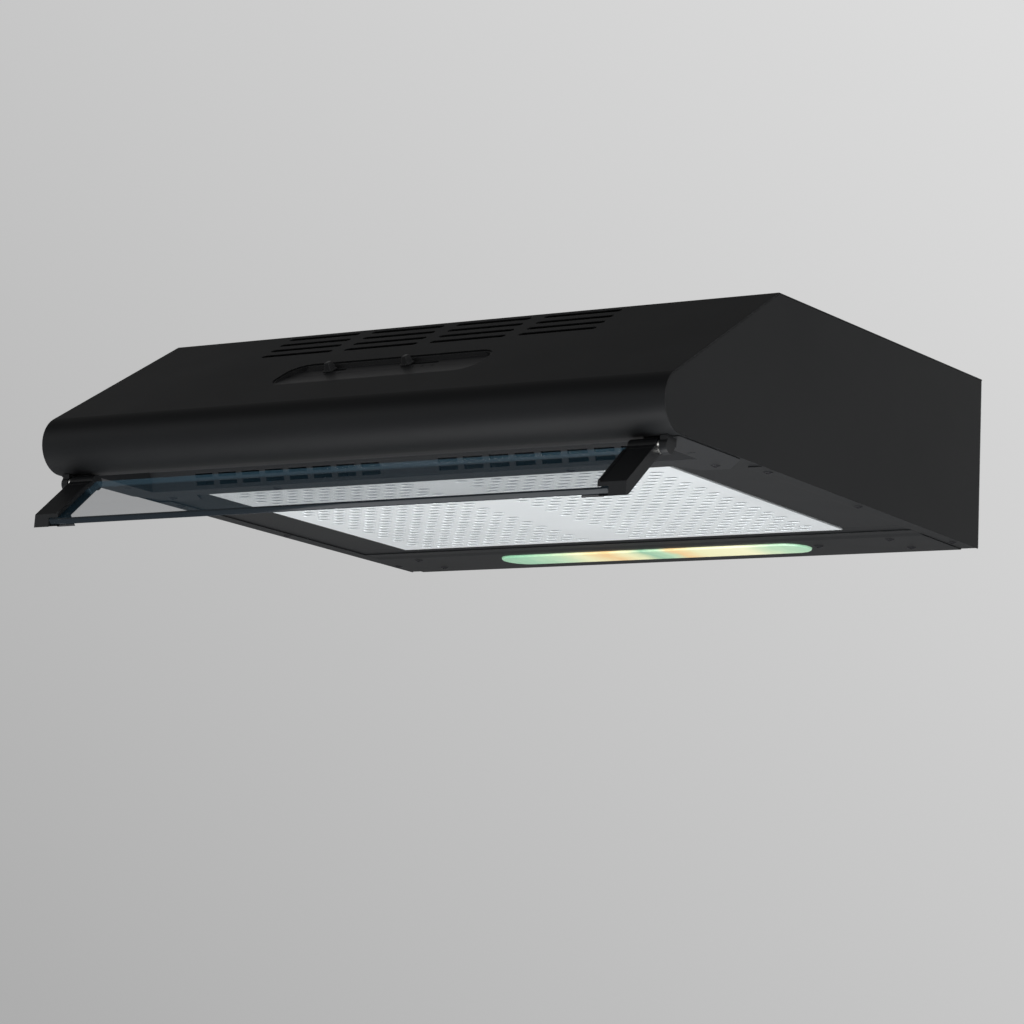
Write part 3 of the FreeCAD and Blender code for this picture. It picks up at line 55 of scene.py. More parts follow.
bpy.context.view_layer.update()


# ------------------------------------------------------------------ shader maths
class Signal:
    """A number, colour or vector inside a shader graph that joins in Python arithmetic."""

    def __init__(self, graph: "Graph", socket: bpy.types.NodeSocket) -> None:
        """Keep the graph and the output socket."""
        self.graph = graph
        self.socket = socket

    def maths(self, operation: str, *terms: "Signal | float", clamp: bool = False) -> "Signal":
        """Add one Math node.

        Args:
            operation: the Math node's operation.
            terms: the values of its sockets in order.
            clamp: keep the result between 0 and 1.

        Returns:
            The node's result.
        """
        settings = {"operation": operation, "use_clamp": clamp}
        return self.graph.node("ShaderNodeMath", settings, dict(enumerate(terms)))

    def __add__(self, other: "Signal | float") -> "Signal":
        """Sum."""
        return self.maths("ADD", self, other)

    def __radd__(self, other: float) -> "Signal":
        """Sum with a number in front."""
        return self.maths("ADD", other, self)

    def __sub__(self, other: "Signal | float") -> "Signal":
        """Difference."""
        return self.maths("SUBTRACT", self, other)

    def __rsub__(self, other: float) -> "Signal":
        """Difference from a number."""
        return self.maths("SUBTRACT", other, self)

    def __mul__(self, other: "Signal | float") -> "Signal":
        """Product."""
        return self.maths("MULTIPLY", self, other)

    def __rmul__(self, other: float) -> "Signal":
        """Product with a number in front."""
        return self.maths("MULTIPLY", other, self)

    def __truediv__(self, other: "Signal | float") -> "Signal":
        """Quotient."""
        return self.maths("DIVIDE", self, other)

    def sine(self) -> "Signal":
        """Sine of an angle in radians."""
        return self.maths("SINE", self)

    def above(self, low: float, high: float) -> "Signal":
        """Smooth step from 0 at low to 1 at high."""
        settings = {"interpolation_type": "SMOOTHSTEP"}
        return self.graph.node("ShaderNodeMapRange", settings, {0: self, 1: low, 2: high, 3: 0.0, 4: 1.0})

    def clamped(self) -> "Signal":
        """Held between 0 and 1."""
        return self.maths("ADD", self, 0.0, clamp=True)


class Graph:
    """The node tree of one material or of the world."""

    def __init__(self, tree: bpy.types.NodeTree) -> None:
        """Start from an empty tree."""
        self.tree = tree
        tree.nodes.clear()

    def node(self, kind: str, settings: dict[str, Any] | None = None,
             sockets: dict[str | int, Any] | None = None, out: str | int = 0) -> Signal:
        """Add any node.

        Args:
            kind: the node's type name.
            settings: its own properties, set first; "stops" holds a ramp's (place, colour) pairs.
            sockets: values or Signals by socket name or number.
            out: which output to return.

        Returns:
            That output.
        """
        made = self.tree.nodes.new(kind)
        for key, value in (settings or {}).items():
            if key == "stops":
                self.set_stops(made, value)
            else:
                setattr(made, key, value)
        for key, value in (sockets or {}).items():
            if isinstance(value, Signal):
                self.tree.links.new(value.socket, made.inputs[key])
            else:
                made.inputs[key].default_value = value
        return Signal(self, made.outputs[out])

    @staticmethod
    def set_stops(ramp: bpy.types.Node, stops: list[tuple[float, tuple[float, ...]]]) -> None:
        """Lay a colour ramp's stops, given from left to right."""
        elements = ramp.color_ramp.elements
        while len(elements) < len(stops):
            elements.new(1.0)
        for element, (place, colour) in zip(elements, stops):
            element.position = place
            element.color = (*colour[:3], 1.0)

    def place(self, scale: tuple[float, float, float] = (1.0, 1.0, 1.0),
              turn: tuple[float, float, float] = (0.0, 0.0, 0.0)) -> Signal:
        """Object coordinates in metres, turned and stretched.

        Args:
            scale: stretch along each axis after turning.
            turn: rotation in radians.

        Returns:
            The mapped position.
        """
        here = self.node("ShaderNodeTexCoord", out="Object")
        if scale == (1.0, 1.0, 1.0) and turn == (0.0, 0.0, 0.0):
            return here
        return self.node("ShaderNodeMapping", {"vector_type": "POINT"},
                         {"Vector": here, "Rotation": turn, "Scale": scale})

    def axes(self, where: Signal) -> tuple[Signal, Signal, Signal]:
        """The three numbers of a position."""
        first = self.node("ShaderNodeSeparateXYZ", sockets={0: where})
        outputs = first.socket.node.outputs
        return first, Signal(self, outputs[1]), Signal(self, outputs[2])

    def noise(self, where: Signal, scale: float, detail: float = 3.0, roughness: float = 0.5) -> Signal:
        """Smooth noise from 0 to 1.

        Args:
            where: the position read.
            scale: lumps per metre.
            detail: octaves.
            roughness: weight of the finer octaves.

        Returns:
            The noise value.
        """
        return self.node("ShaderNodeTexNoise", None,
                         {"Vector": where, "Scale": scale, "Detail": detail, "Roughness": roughness})

    def cells(self, where: Signal, scale: float, feature: str = "F1", out: str | int = "Distance") -> Signal:
        """Voronoi cells: distance, or colour with out="Color"."""
        return self.node("ShaderNodeTexVoronoi", {"feature": feature}, {"Vector": where, "Scale": scale}, out)

    def blend(self, amount: Signal | float, first: Any, second: Any, mode: str = "MIX") -> Signal:
        """Mix two colours.

        Args:
            amount: 0 gives the first, 1 the second.
            first: colour or Signal.
            second: colour or Signal.
            mode: the Mix node's blend type.

        Returns:
            The mixed colour.
        """
        full = [(*c, 1.0) if isinstance(c, tuple) and len(c) == 3 else c for c in (first, second)]
        return self.node("ShaderNodeMix", {"data_type": "RGBA", "blend_type": mode},
                         {0: amount, 6: full[0], 7: full[1]}, 2)

    def relief(self, height: Signal, depth: float, base: Signal | None = None, strength: float = 1.0) -> Signal:
        """A bumped normal.

        Args:
            height: 0 to 1.
            depth: metres between 0 and 1.
            base: a normal underneath, if any.
            strength: share of the effect.

        Returns:
            The normal.
        """
        sockets = {"Height": height, "Distance": depth, "Strength": strength}
        if base is not None:
            sockets["Normal"] = base
        return self.node("ShaderNodeBump", None, sockets)

    def soft_edges(self, radius: float) -> Signal:
        """Normal with edges rounded off over a radius in metres."""
        return self.node("ShaderNodeBevel", {"samples": 4}, {"Radius": radius})

    def edge_mask(self, radius: float) -> Signal:
        """0 on flats, rising to 1 within a radius of a sharp edge: how far the rounded normal leans."""
        soft = self.soft_edges(radius)
        flat = self.node("ShaderNodeNewGeometry", out="Normal")
        lean = self.node("ShaderNodeVectorMath", {"operation": "DOT_PRODUCT"}, {0: soft, 1: flat}, 1)
        return (1.0 - lean).above(0.01, 0.25)

    def finish(self, **sockets: Any) -> None:
        """Add the Principled shader with these sockets and the output.

        Args:
            sockets: values or Signals, with spaces in names written as underscores.
        """
        named = {key.replace("_", " "): value for key, value in sockets.items()}
        surface = self.node("ShaderNodeBsdfPrincipled", None, named)
        self.node_output(surface)

    def node_output(self, surface: Signal) -> None:
        """Connect the surface to a new output."""
        output = self.tree.nodes.new("ShaderNodeOutputMaterial")
        self.tree.links.new(surface.socket, output.inputs["Surface"])


# ---------------------------------------------------------------------- finishes
@dataclass(frozen=True)
class Finish:
    """A named surface finish."""

    name: str
    colour: tuple[float, float, float]
    rough: float = 0.5

    def shade(self, graph: Graph) -> None:
        """Plain finish; the others override it."""
        graph.finish(Base_Color=(*self.colour, 1.0), Roughness=self.rough)

    def material(self) -> bpy.types.Material:
        """The material, made once.

        Returns:
            The existing or new material of this name.
        """
        found = bpy.data.materials.get(self.name)
        if found:
            return found
        made = bpy.data.materials.new(self.name)
        made.use_nodes = True
        made.diffuse_color = (*self.colour, 1.0)
        self.shade(Graph(made.node_tree))
        return made


@dataclass(frozen=True)
class PowderCoat(Finish):
    """Stoved powder paint on folded steel: fine orange peel, and edges lightened in patches, partly wear and partly
    a painted edge highlight.
    """

    edge: float = 0.0006
    wear_and_edge_highlight: float = 0.5
    sheen: float = 0.07

    def shade(self, graph: Graph) -> None:
        """Peel from two noises, cloudiness in gloss, edges lightened in patches as wear and painted edge highlight.
        """
        here = graph.place()
        cloud = graph.noise(here, 9.0, 3.0, 0.55)
        peel = graph.noise(here, 1100.0, 2.0, 0.6)
        speck = graph.noise(here, 2600.0, 1.0)
        highlight_edge_mask = graph.edge_mask(self.edge)
        worn_edge_highlight = highlight_edge_mask * graph.noise(here, 160.0, 3.0).above(0.35, 0.7) * self.wear_and_edge_highlight
        # Edges lifted to a pale grey in noisy patches: partly wear, partly a painted edge highlight.
        pale = tuple(min(1.0, c * 3.2 + 0.02) for c in self.colour)
        tone = graph.blend(cloud * 0.35, self.colour, tuple(c * 1.5 for c in self.colour))
        tone = graph.blend(worn_edge_highlight, tone, pale)
        gloss = self.rough + (cloud - 0.5) * 0.10 + (speck - 0.5) * 0.08 - worn_edge_highlight * 0.06
        normal = graph.relief(peel, 0.00003, graph.soft_edges(self.edge))
        graph.finish(Base_Color=tone, Roughness=gloss, Normal=normal, IOR=1.5, Specular_IOR_Level=self.sheen)


@dataclass(frozen=True)
class MouldedPlastic(Finish):
    """Injection moulded plastic with a spark-eroded grain."""

    grain: float = 0.00004
    pitch: float = 1500.0
    edge: float = 0.0004
    sheen: float = 0.12

    def shade(self, graph: Graph) -> None:
        """Grain from noise and cells, faint flow marks in the colour, edges lightened as a painted highlight."""
        here = graph.place()
        grain = graph.noise(here, self.pitch, 2.0, 0.6)
        pits = graph.cells(here, self.pitch * 0.7)
        flow = graph.noise(graph.place((4.0, 30.0, 30.0)), 1.0, 3.0)
        highlight_edge_mask = graph.edge_mask(self.edge)
        tone = graph.blend(flow * 0.5, self.colour, tuple(min(1.0, c * 1.35) for c in self.colour))
        # Edges blended towards a lighter grey: a painted edge highlight.
        tone = graph.blend(highlight_edge_mask * 0.35, tone, tuple(min(1.0, c * 2.2 + 0.01) for c in self.colour))
        gloss = self.rough + (grain - 0.5) * 0.12 - highlight_edge_mask * 0.08
        normal = graph.relief(grain * 0.7 + pits * 0.3, self.grain, graph.soft_edges(self.edge))
        graph.finish(Base_Color=tone, Roughness=gloss, Normal=normal, IOR=1.5, Specular_IOR_Level=self.sheen)


@dataclass(frozen=True)
class Galvanised(Finish):
    """Zinc plated or galvanised steel with soft spangle."""

    spangle: float = 120.0

    def shade(self, graph: Graph) -> None:
        """Flakes of different tone and gloss, fine rolling lines."""
        here = graph.place()
        flake = graph.node("ShaderNodeSeparateColor",
                           sockets={0: graph.cells(here, self.spangle, out="Color")})
        lines = graph.noise(graph.place((40.0, 1400.0, 1400.0)), 1.0, 2.0)
        stain = graph.noise(here, 24.0, 4.0, 0.6)
        tone = graph.blend(flake * 0.5 + stain * 0.3, self.colour, tuple(c * 0.72 for c in self.colour))
        gloss = self.rough + (flake - 0.5) * 0.16 + (stain - 0.5) * 0.12
        normal = graph.relief(lines * 0.6 + flake * 0.4, 0.00002, graph.soft_edges(0.0003))
        graph.finish(Base_Color=tone, Metallic=1.0, Roughness=gloss, Normal=normal)


@dataclass(frozen=True)
class BrushedMetal(Finish):
    """Bright rolled or turned metal with directional lines."""

    stretch: tuple[float, float, float] = (20.0, 1800.0, 1800.0)
    depth: float = 0.000012
    metal: float = 1.0

    def shade(self, graph: Graph) -> None:
        """Lines drawn out along one axis, handling marks in the gloss, arrises lightened as a painted highlight."""
        lines = graph.noise(graph.place(self.stretch), 1.0, 3.0, 0.65)
        smear = graph.noise(graph.place(), 14.0, 4.0, 0.6)
        highlight_edge_mask = graph.edge_mask(0.0003)
        tone = graph.blend(lines * 0.35 + smear * 0.25, self.colour, tuple(c * 0.8 for c in self.colour))
        # Arrises blended towards a brighter tone: a painted edge highlight.
        tone = graph.blend(highlight_edge_mask * 0.5, tone, tuple(min(1.0, c * 1.12) for c in self.colour))
        gloss = self.rough + (lines - 0.5) * 0.14 + (smear - 0.5) * 0.14
        normal = graph.relief(lines, self.depth, graph.soft_edges(0.0003))
        graph.finish(Base_Color=tone, Metallic=self.metal, Roughness=gloss, Normal=normal)


@dataclass(frozen=True)
class TintedGlass(Finish):
    """Thick tinted glass with a wiped, slightly greasy surface.

    front is how far, in metres from the hinge, the polished front edge lies: there the tint is seen
    through its whole depth and turns nearly black.
    """

    cover: float = 0.21
    sheen: float = 0.07
    front: float = 0.0

    def edge_share(self, graph: Graph) -> Signal:
        """1 on the front edge face and 0 elsewhere, by distance down the visor's own slope."""
        _, y, z = graph.axes(graph.place())
        c, s = math.cos(math.radians(VISOR_LEAN)), math.sin(math.radians(VISOR_LEAN))
        out = (y - VISOR_AXIS[0]) * -c + (z - VISOR_AXIS[1]) * -s
        return out.above(self.front - 0.0012, self.front - 0.0006)

    def shade(self, graph: Graph) -> None:
        """See-through body; wiping streaks and fingermarks only touch the gloss."""
        streak = graph.noise(graph.place((6.0, 60.0, 60.0)), 1.0, 4.0, 0.6)
        prints = graph.noise(graph.place(), 45.0, 3.0).above(0.55, 0.75)
        tone = graph.blend(streak * 0.2, self.colour, tuple(c * 0.85 for c in self.colour))
        gloss = self.rough + streak * 0.03 + prints * 0.05
        cover = self.cover + streak * 0.05
        if self.front:
            edge = self.edge_share(graph)
            tone = graph.blend(edge, tone, (0.006, 0.008, 0.010))
            cover = (cover + edge).clamped()
        graph.finish(Base_Color=tone, Roughness=gloss, IOR=1.5, Alpha=cover,
                     Specular_IOR_Level=self.sheen)


@dataclass(frozen=True)
class GlowingLens(Finish):
    """Frosted lens lit from inside by two warm lamps, greenish where the plastic itself shows."""

    half: float = 0.133
    glow: float = 1.0

    def shade(self, graph: Graph) -> None:
        """Bands of colour along the lens, softened by noise; the shell under them is darker than its glow."""
        x, _, _ = graph.axes(graph.place())
        along = (x / (2 * self.half) + 0.5 + (graph.noise(graph.place(), 60.0, 3.0) - 0.5) * 0.07).clamped()
        green, mint = (0.16, 0.42, 0.25), (0.38, 0.62, 0.38)
        cream, amber = (0.80, 0.78, 0.42), (0.82, 0.50, 0.16)
        stops = [(0.0, green), (0.10, (0.20, 0.50, 0.30)), (0.19, mint), (0.28, cream), (0.37, amber),
                 (0.43, cream), (0.50, green), (0.555, mint), (0.60, amber), (0.67, cream),
                 (0.80, (0.85, 0.82, 0.50)), (0.90, mint), (1.0, (0.24, 0.52, 0.33))]
        bands = graph.node("ShaderNodeValToRGB", {"stops": stops}, {0: along})
        ripple = graph.noise(graph.place((1.0, 0.3, 1.0)), 220.0, 2.0)
        tone = graph.blend(ripple * 0.25, bands, (0.92, 0.95, 0.80))
        normal = graph.relief(ripple, 0.0002)
        shell = graph.blend(0.62, tone, (0.0, 0.0, 0.0))
        graph.finish(Base_Color=shell, Roughness=self.rough, Normal=normal, IOR=1.49,
                     Emission_Color=tone, Emission_Strength=self.glow, Coat_Weight=0.4)


@dataclass(frozen=True)
class Fibre(Finish):
    """Needled fibre fleece."""

    def shade(self, graph: Graph) -> None:
        """Tangled hairs from two stretched noises."""
        first = graph.noise(graph.place((900.0, 90.0, 500.0), (0.0, 0.0, 0.5)), 1.0, 2.0)
        second = graph.noise(graph.place((90.0, 900.0, 500.0), (0.0, 0.0, 0.4)), 1.0, 2.0)
        hairs = first.maths("MAXIMUM", first, second)
        clump = graph.noise(graph.place(), 60.0, 3.0)
        tone = graph.blend(hairs.above(0.35, 0.75) * 0.6 + clump * 0.3,
                           tuple(c * 0.62 for c in self.colour), self.colour)
        graph.finish(Base_Color=tone, Roughness=0.95, Normal=graph.relief(hairs, 0.0006),
                     Sheen_Weight=0.3, Sheen_Roughness=0.6)


@dataclass(frozen=True)
class Rubber(Finish):
    """Soft black rubber with bloom."""

    def shade(self, graph: Graph) -> None:
        """Chalky bloom over a fine grain."""
        here = graph.place()
        bloom = graph.noise(here, 55.0, 4.0, 0.65).above(0.4, 0.8)
        grain = graph.noise(here, 2400.0, 2.0)
        tone = graph.blend(bloom * 0.35, self.colour, tuple(c * 2.4 + 0.01 for c in self.colour))
        graph.finish(Base_Color=tone, Roughness=self.rough + bloom * 0.12,
                     Normal=graph.relief(grain, 0.00004, graph.soft_edges(0.0004)))


@dataclass(frozen=True)
class Windings(Finish):
    """Stacked laminations with lacquered copper wire."""

    def shade(self, graph: Graph) -> None:
        """Thin plates by height where the steel is, fine turns elsewhere."""
        x, y, z = graph.axes(graph.place())
        plates = (z * (2 * math.pi / 0.0009)).sine() * 0.5 + 0.5
        turns = ((x + y) * (2 * math.pi / 0.0011)).sine() * 0.5 + 0.5
        rust = graph.noise(graph.place(), 90.0, 4.0)
        tone = graph.blend(plates * 0.4 + rust * 0.4, self.colour, (0.42, 0.20, 0.08))
        graph.finish(Base_Color=tone, Metallic=0.8, Roughness=self.rough + rust * 0.15,
                     Normal=graph.relief(plates * 0.6 + turns * 0.4, 0.00012))


class Look(Enum):
    """The finishes of this hood."""

    SATIN_BLACK = PowderCoat("satin_black_powder_coat", (0.0068, 0.0072, 0.0077), 0.46)
    BLACK_SCREW = PowderCoat("blacked_screw_steel", (0.007, 0.007, 0.008), 0.42, wear_and_edge_highlight=0.5)
    BLACK_MOULDING = MouldedPlastic("black_moulded_abs", (0.0075, 0.0080, 0.0088), 0.46)
    RECESS_BLACK = MouldedPlastic("control_recess_abs", (0.012, 0.0123, 0.013), 0.40, pitch=1900.0)
    KNOB_BLACK = MouldedPlastic("slider_knob_abs", (0.020, 0.0205, 0.0215), 0.30, grain=0.00002)
    GREY_CASING = MouldedPlastic("grey_casing_pp", (0.20, 0.21, 0.22), 0.55, pitch=700.0)
    WHITE_PART = MouldedPlastic("white_insulator_pa", (0.70, 0.70, 0.66), 0.45, pitch=900.0)
    ZINC = Galvanised("galvanised_steel", (0.52, 0.53, 0.54), 0.38)
    BRIGHT_PLATE = Galvanised("zinc_plated_fitting", (0.62, 0.62, 0.60), 0.28, spangle=420.0)
    FILTER_ALUMINIUM = BrushedMetal("perforated_aluminium", (0.90, 0.94, 0.96), 0.42, metal=0.84)
    REFLECTOR = BrushedMetal("reflector_aluminium", (0.90, 0.90, 0.89), 0.16)
    TURNED_STEEL = BrushedMetal("turned_steel", (0.58, 0.58, 0.58), 0.24, (900.0, 900.0, 60.0))
    BRONZE = BrushedMetal("sintered_bronze", (0.55, 0.36, 0.18), 0.42, (700.0, 700.0, 700.0))
    CAN = BrushedMetal("capacitor_can", (0.66, 0.66, 0.68), 0.30, (60.0, 1500.0, 1500.0))
    SMOKE_GLASS = TintedGlass("smoked_visor_glass", (0.038, 0.080, 0.112), 0.06, front=50.4 * MM)
    BULB_GLASS = TintedGlass("frosted_bulb_glass", (0.90, 0.86, 0.76), 0.35, cover=0.80)
    LENS = GlowingLens("lit_lamp_lens", (0.6, 0.7, 0.45), 0.32, glow=0.55)
    # Fleece coloured dark grey, not its own white, so the perforations read as dark holes: painted shade.
    SHADE_DARK_FLEECE = Fibre("grease_fleece", (0.11, 0.13, 0.14))
    RUBBER = Rubber("black_rubber", (0.02, 0.02, 0.02), 0.72)
    WINDINGS = Windings("stator_stack", (0.16, 0.15, 0.14), 0.5)


def dress(look: Look, *nodes: str) -> None:
    """Give CAD nodes one finish.

    Args:
        look: the finish.
        nodes: node names.
    """
    for name in nodes:
        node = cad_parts[name]
        node.data.materials.clear()
        node.data.materials.append(look.value.material())
    log.info("%s: %s", look.name.lower(), ", ".join(nodes))


# ------------------------------------------------------------------ shapes
@dataclass(frozen=True)
class Plane:
    """A flat working frame that leans about the x axis.

    A point (x, a, n) lies at y = y0 - a cos(lean) - n sin(lean) and
    z = z0 - a sin(lean) + n cos(lean): a runs forward along the plane, n out of it.
    """

    lean: float
    y0: float
    z0: float

    def to_hood(self, local: np.ndarray) -> np.ndarray:
        """Turn (..., 3) points of this frame into hood coordinates.

        Args:
            local: x, a, n in metres.

        Returns:
            x, y, z in metres.
        """
        c, s = math.cos(math.radians(self.lean)), math.sin(math.radians(self.lean))
        x, a, n = local[..., 0], local[..., 1], local[..., 2]
        return np.stack([x, self.y0 - a * c - n * s, self.z0 - a * s + n * c], axis=-1)


UNDERSIDE = Plane(-1.37581, 0.0, -0.125)
SLOPE = Plane(29.964, -0.315, 0.0)
VISOR = Plane(VISOR_LEAN, *VISOR_AXIS)


def skin(name: str, grid: np.ndarray, look: Look, body: str, wrap: tuple[bool, bool] = (False, False),
         caps: bool = False, smooth: float | None = 40.0) -> bpy.types.Object:
    """A mesh over a grid of points.

    Vertex (i, j) sits at grid[i, j]; neighbouring rows and columns make quads.  With caps, the first
    and last rows, which are closed loops, are each filled by a fan to their mean point.

    Args:
        name: piece name.
        grid: points, shape (rows, columns, 3), in hood coordinates.
        look: finish.
        body: CAD body it rides on.
        wrap: whether rows and columns close on themselves.
        caps: fill both ends.
        smooth: angle in degrees under which edges shade smooth, or None for flat.

    Returns:
        The new object.
    """
    rows, cols = grid.shape[:2]
    index = np.arange(rows * cols).reshape(rows, cols)
    i = np.arange(rows if wrap[0] else rows - 1)
    j = np.arange(cols if wrap[1] else cols - 1)
    i2, j2 = (i + 1) % rows, (j + 1) % cols
    quads = np.stack([index[np.ix_(i, j)], index[np.ix_(i, j2)], index[np.ix_(i2, j2)], index[np.ix_(i2, j)]], -1)
    verts = grid.reshape(-1, 3)
    faces = quads.reshape(-1, 4).tolist()
    if caps:
        verts = np.vstack([verts, grid[0].mean(0), grid[-1].mean(0)])
        first, last = rows * cols, rows * cols + 1
        faces += np.stack([index[0, j2], index[0, j], np.full(len(j), first)], -1).tolist()
        faces += np.stack([index[-1, j], index[-1, j2], np.full(len(j), last)], -1).tolist()
    mesh = bpy.data.meshes.new(name)
    mesh.from_pydata(verts.tolist(), [], faces)
    mesh.validate()
    mesh.materials.append(look.value.material())
    piece = bpy.data.objects.new(name, mesh)
    bpy.context.scene.collection.objects.link(piece)
    turn_outwards(mesh)
    if smooth is not None:
        mesh.shade_smooth()
        mesh.set_sharp_from_angle(angle=math.radians(smooth))
    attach(piece, body)
    log.info("built %s, %d faces", name, len(mesh.polygons))
    return piece


def turn_outwards(mesh: bpy.types.Mesh) -> None:
    """Flip a closed mesh whose signed volume, the sum of corner triple products over 6, is negative."""
    mesh.calc_loop_triangles()
    co = np.empty(len(mesh.vertices) * 3)
    mesh.vertices.foreach_get("co", co)
    tri = np.empty(len(mesh.loop_triangles) * 3, np.int32)
    mesh.loop_triangles.foreach_get("vertices", tri)
    a, b, c = co.reshape(-1, 3)[tri.reshape(-1, 3)].transpose(1, 0, 2)
    if np.einsum("ij,ij->i", a, np.cross(b, c)).sum() < 0:
        mesh.flip_normals()


def superellipse(half_a: np.ndarray | float, half_b: np.ndarray | float, power: float, count: int) -> np.ndarray:
    """Points of |x/a|^p + |y/b|^p = 1 by angle t: x = a sgn(cos t)|cos t|^(2/p), y likewise with the sine.

    Args:
        half_a: half length along the first axis.
        half_b: half length along the second.
        power: 2 for an ellipse, larger for a squarer shape.
        count: points round it.

    Returns:
        Array (..., count, 2).
    """
    t = np.linspace(0, 2 * np.pi, count, endpoint=False)
    x = np.sign(np.cos(t)) * np.abs(np.cos(t)) ** (2 / power)
    y = np.sign(np.sin(t)) * np.abs(np.sin(t)) ** (2 / power)
    a, b = np.asarray(half_a)[..., None], np.asarray(half_b)[..., None]
    return np.stack([a * x, b * y], axis=-1)


# ------------------------------------------------------------------ sub-assemblies
@dataclass
class Shell:
    """The painted sheets, the back and the moulded front strip."""

    painted: tuple[str, ...] = ("canopy_sheet", "side_panel_left", "side_panel_right", "bottom_pan", "lamp_panel")

    def build(self) -> None:
        """Dress the sheets."""
        dress(Look.SATIN_BLACK, *self.painted)
        dress(Look.ZINC, "back_panel")
        dress(Look.BLACK_MOULDING, "front_moulding")
        dress(Look.BLACK_SCREW, "pan_screws", "moulding_screws", "lamp_panel_screws", "lens_screw", "canopy_rivets")


@dataclass
class Filter:
    """The perforated panel, its fleece and wires, which swing down together."""

    half_width: float = 183.5 * MM
    rear: float = 105.2 * MM
    front: float = 345.3 * MM
    low: float = 0.98 * MM
    high: float = 3.97 * MM
    cells: tuple[int, int] = (150, 100)

    def fleece_grid(self) -> np.ndarray:
        """The fleece as one closed shell round a slab.

        Across the slab the profile is a superellipse of half width and half thickness carried from the rear
        to the front edge; the half thickness swells and dips by three crossed sines so that it looks laid, not cut.

        Returns:
            Points (rows, columns, 3) in hood coordinates.
        """
        across, along = self.cells
        a = np.linspace(self.rear, self.front, along)
        ends = np.clip(np.minimum(a - self.rear, self.front - a) / (3 * MM), 0, 1)
        pinch = np.sqrt(1 - (1 - ends) ** 2) * 0.92 + 0.08
        half = (self.high - self.low) / 2
        ring = superellipse(1.0, 1.0, 8.0, across)
        x = ring[None, :, 0] * self.half_width * np.ones((along, 1))
        lump = (np.sin(x * 210 + a[:, None] * 60) + np.sin(a[:, None] * 260 - x * 90)
                + np.sin((x - a[:, None]) * 420)) / 3
        n = (self.low + self.high) / 2 + ring[None, :, 1] * half * pinch[:, None] * (0.86 + 0.14 * lump)
        return UNDERSIDE.to_hood(np.stack([x, np.broadcast_to(a[:, None], x.shape), n], -1))

    def build(self) -> None:
        """Dress the panel and lay the fleece."""
        dress(Look.FILTER_ALUMINIUM, "filter_grille")
        dress(Look.TURNED_STEEL, "filter_wires", "filter_pivot_left", "filter_pivot_right")
        dress(Look.BRIGHT_PLATE, "filter_spring_left", "filter_spring_right")
        fleece = skin("grease_fleece", self.fleece_grid(), Look.SHADE_DARK_FLEECE, "filter", (False, True), True)
        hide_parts("filter_mat")


@dataclass
class Lamp:
    """Lens, reflector, holders and bulbs in the rear strip."""

    def build(self) -> None:
        """Dress the fittings."""
        dress(Look.REFLECTOR, "lamp_reflector")
        dress(Look.WHITE_PART, "lamp_holder_left", "lamp_holder_right")
        dress(Look.BULB_GLASS, "lamp_bulb_left", "lamp_bulb_right")
        dress(Look.LENS, "lamp_lens")


@dataclass
class SliderKnob:
    """A finger blade on a foot that slides in the recess."""

    node: str
    body: str
    x: float
    s: float = 80 * MM
    floor: float = -3.4 * MM
    top: float = 2.8 * MM
    ribs: int = 5

    def grid(self) -> np.ndarray:
        """Superellipses stacked from stem to tip.

        Their half sizes follow the round stem, the foot with its bevelled edges and the tapering blade.  On the
        blade the width is rippled by a cosine of the height, which makes the finger ribs, and the tip closes on
        a quarter circle.

        Returns:
            Points (rows, columns, 3) in hood coordinates.
        """
        stem_and_foot = np.array([-8.6, 0.0, 0.15, 0.3, 0.9, 1.1, 1.2]) * MM
        foot_wide = np.array([1.5, 1.5, 3.75, 3.95, 3.95, 3.7, 3.3]) * MM
        foot_deep = np.array([1.5, 1.5, 4.2, 4.45, 4.45, 4.2, 3.9]) * MM
        tip = 0.7 * MM
        blade = np.linspace(0, 1, 34)
        ripple = 0.13 * MM * np.cos(blade * 2 * np.pi * self.ribs) * np.sin(np.pi * blade)
        low, high = self.floor + stem_and_foot[-1], self.top - tip
        height = np.concatenate([stem_and_foot + self.floor, low + (high - low) * blade[1:]])
        wide = np.concatenate([foot_wide, (3.3 - 1.35 * blade[1:] ** 0.85) * MM + ripple[1:]])
        deep = np.concatenate([foot_deep, (3.9 - 1.0 * blade[1:]) * MM])
        q = np.linspace(0, 1, 6)[1:]
        cap = np.sqrt(1 - (q * 0.97) ** 2)
        height = np.concatenate([height, high + tip * q])
        wide = np.concatenate([wide, wide[-1] - tip * (1 - cap)])
        deep = np.concatenate([deep, deep[-1] - tip * (1 - cap)])
        ring = superellipse(wide, deep, 5.0, 72)
        ring[:2] = superellipse(wide[:2], deep[:2], 2.0, 72)
        n = np.broadcast_to(height[:, None], ring.shape[:2])
        return SLOPE.to_hood(np.stack([self.x + ring[..., 0], self.s + ring[..., 1], n], -1))

    def build(self) -> None:
        """Mould the knob in place of its plain solid."""
        piece = skin(self.node + "_moulded", self.grid(), Look.KNOB_BLACK, self.body,
                     (False, True), True)
        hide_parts(self.node)


@dataclass
class Controls:
    """Recess, sliders, switches and the plate under them."""

    knobs: tuple[SliderKnob, ...] = (SliderKnob("light_knob", "light_slider", -60 * MM),
                                     SliderKnob("speed_knob", "speed_slider", 4 * MM))

    def build(self) -> None:
        """Dress the fixed parts and mould the knobs."""
        dress(Look.RECESS_BLACK, "control_tray")
        dress(Look.GREY_CASING, "light_switch", "speed_switch")
        dress(Look.ZINC, "switch_plate")
        for knob in self.knobs:
            knob.build()


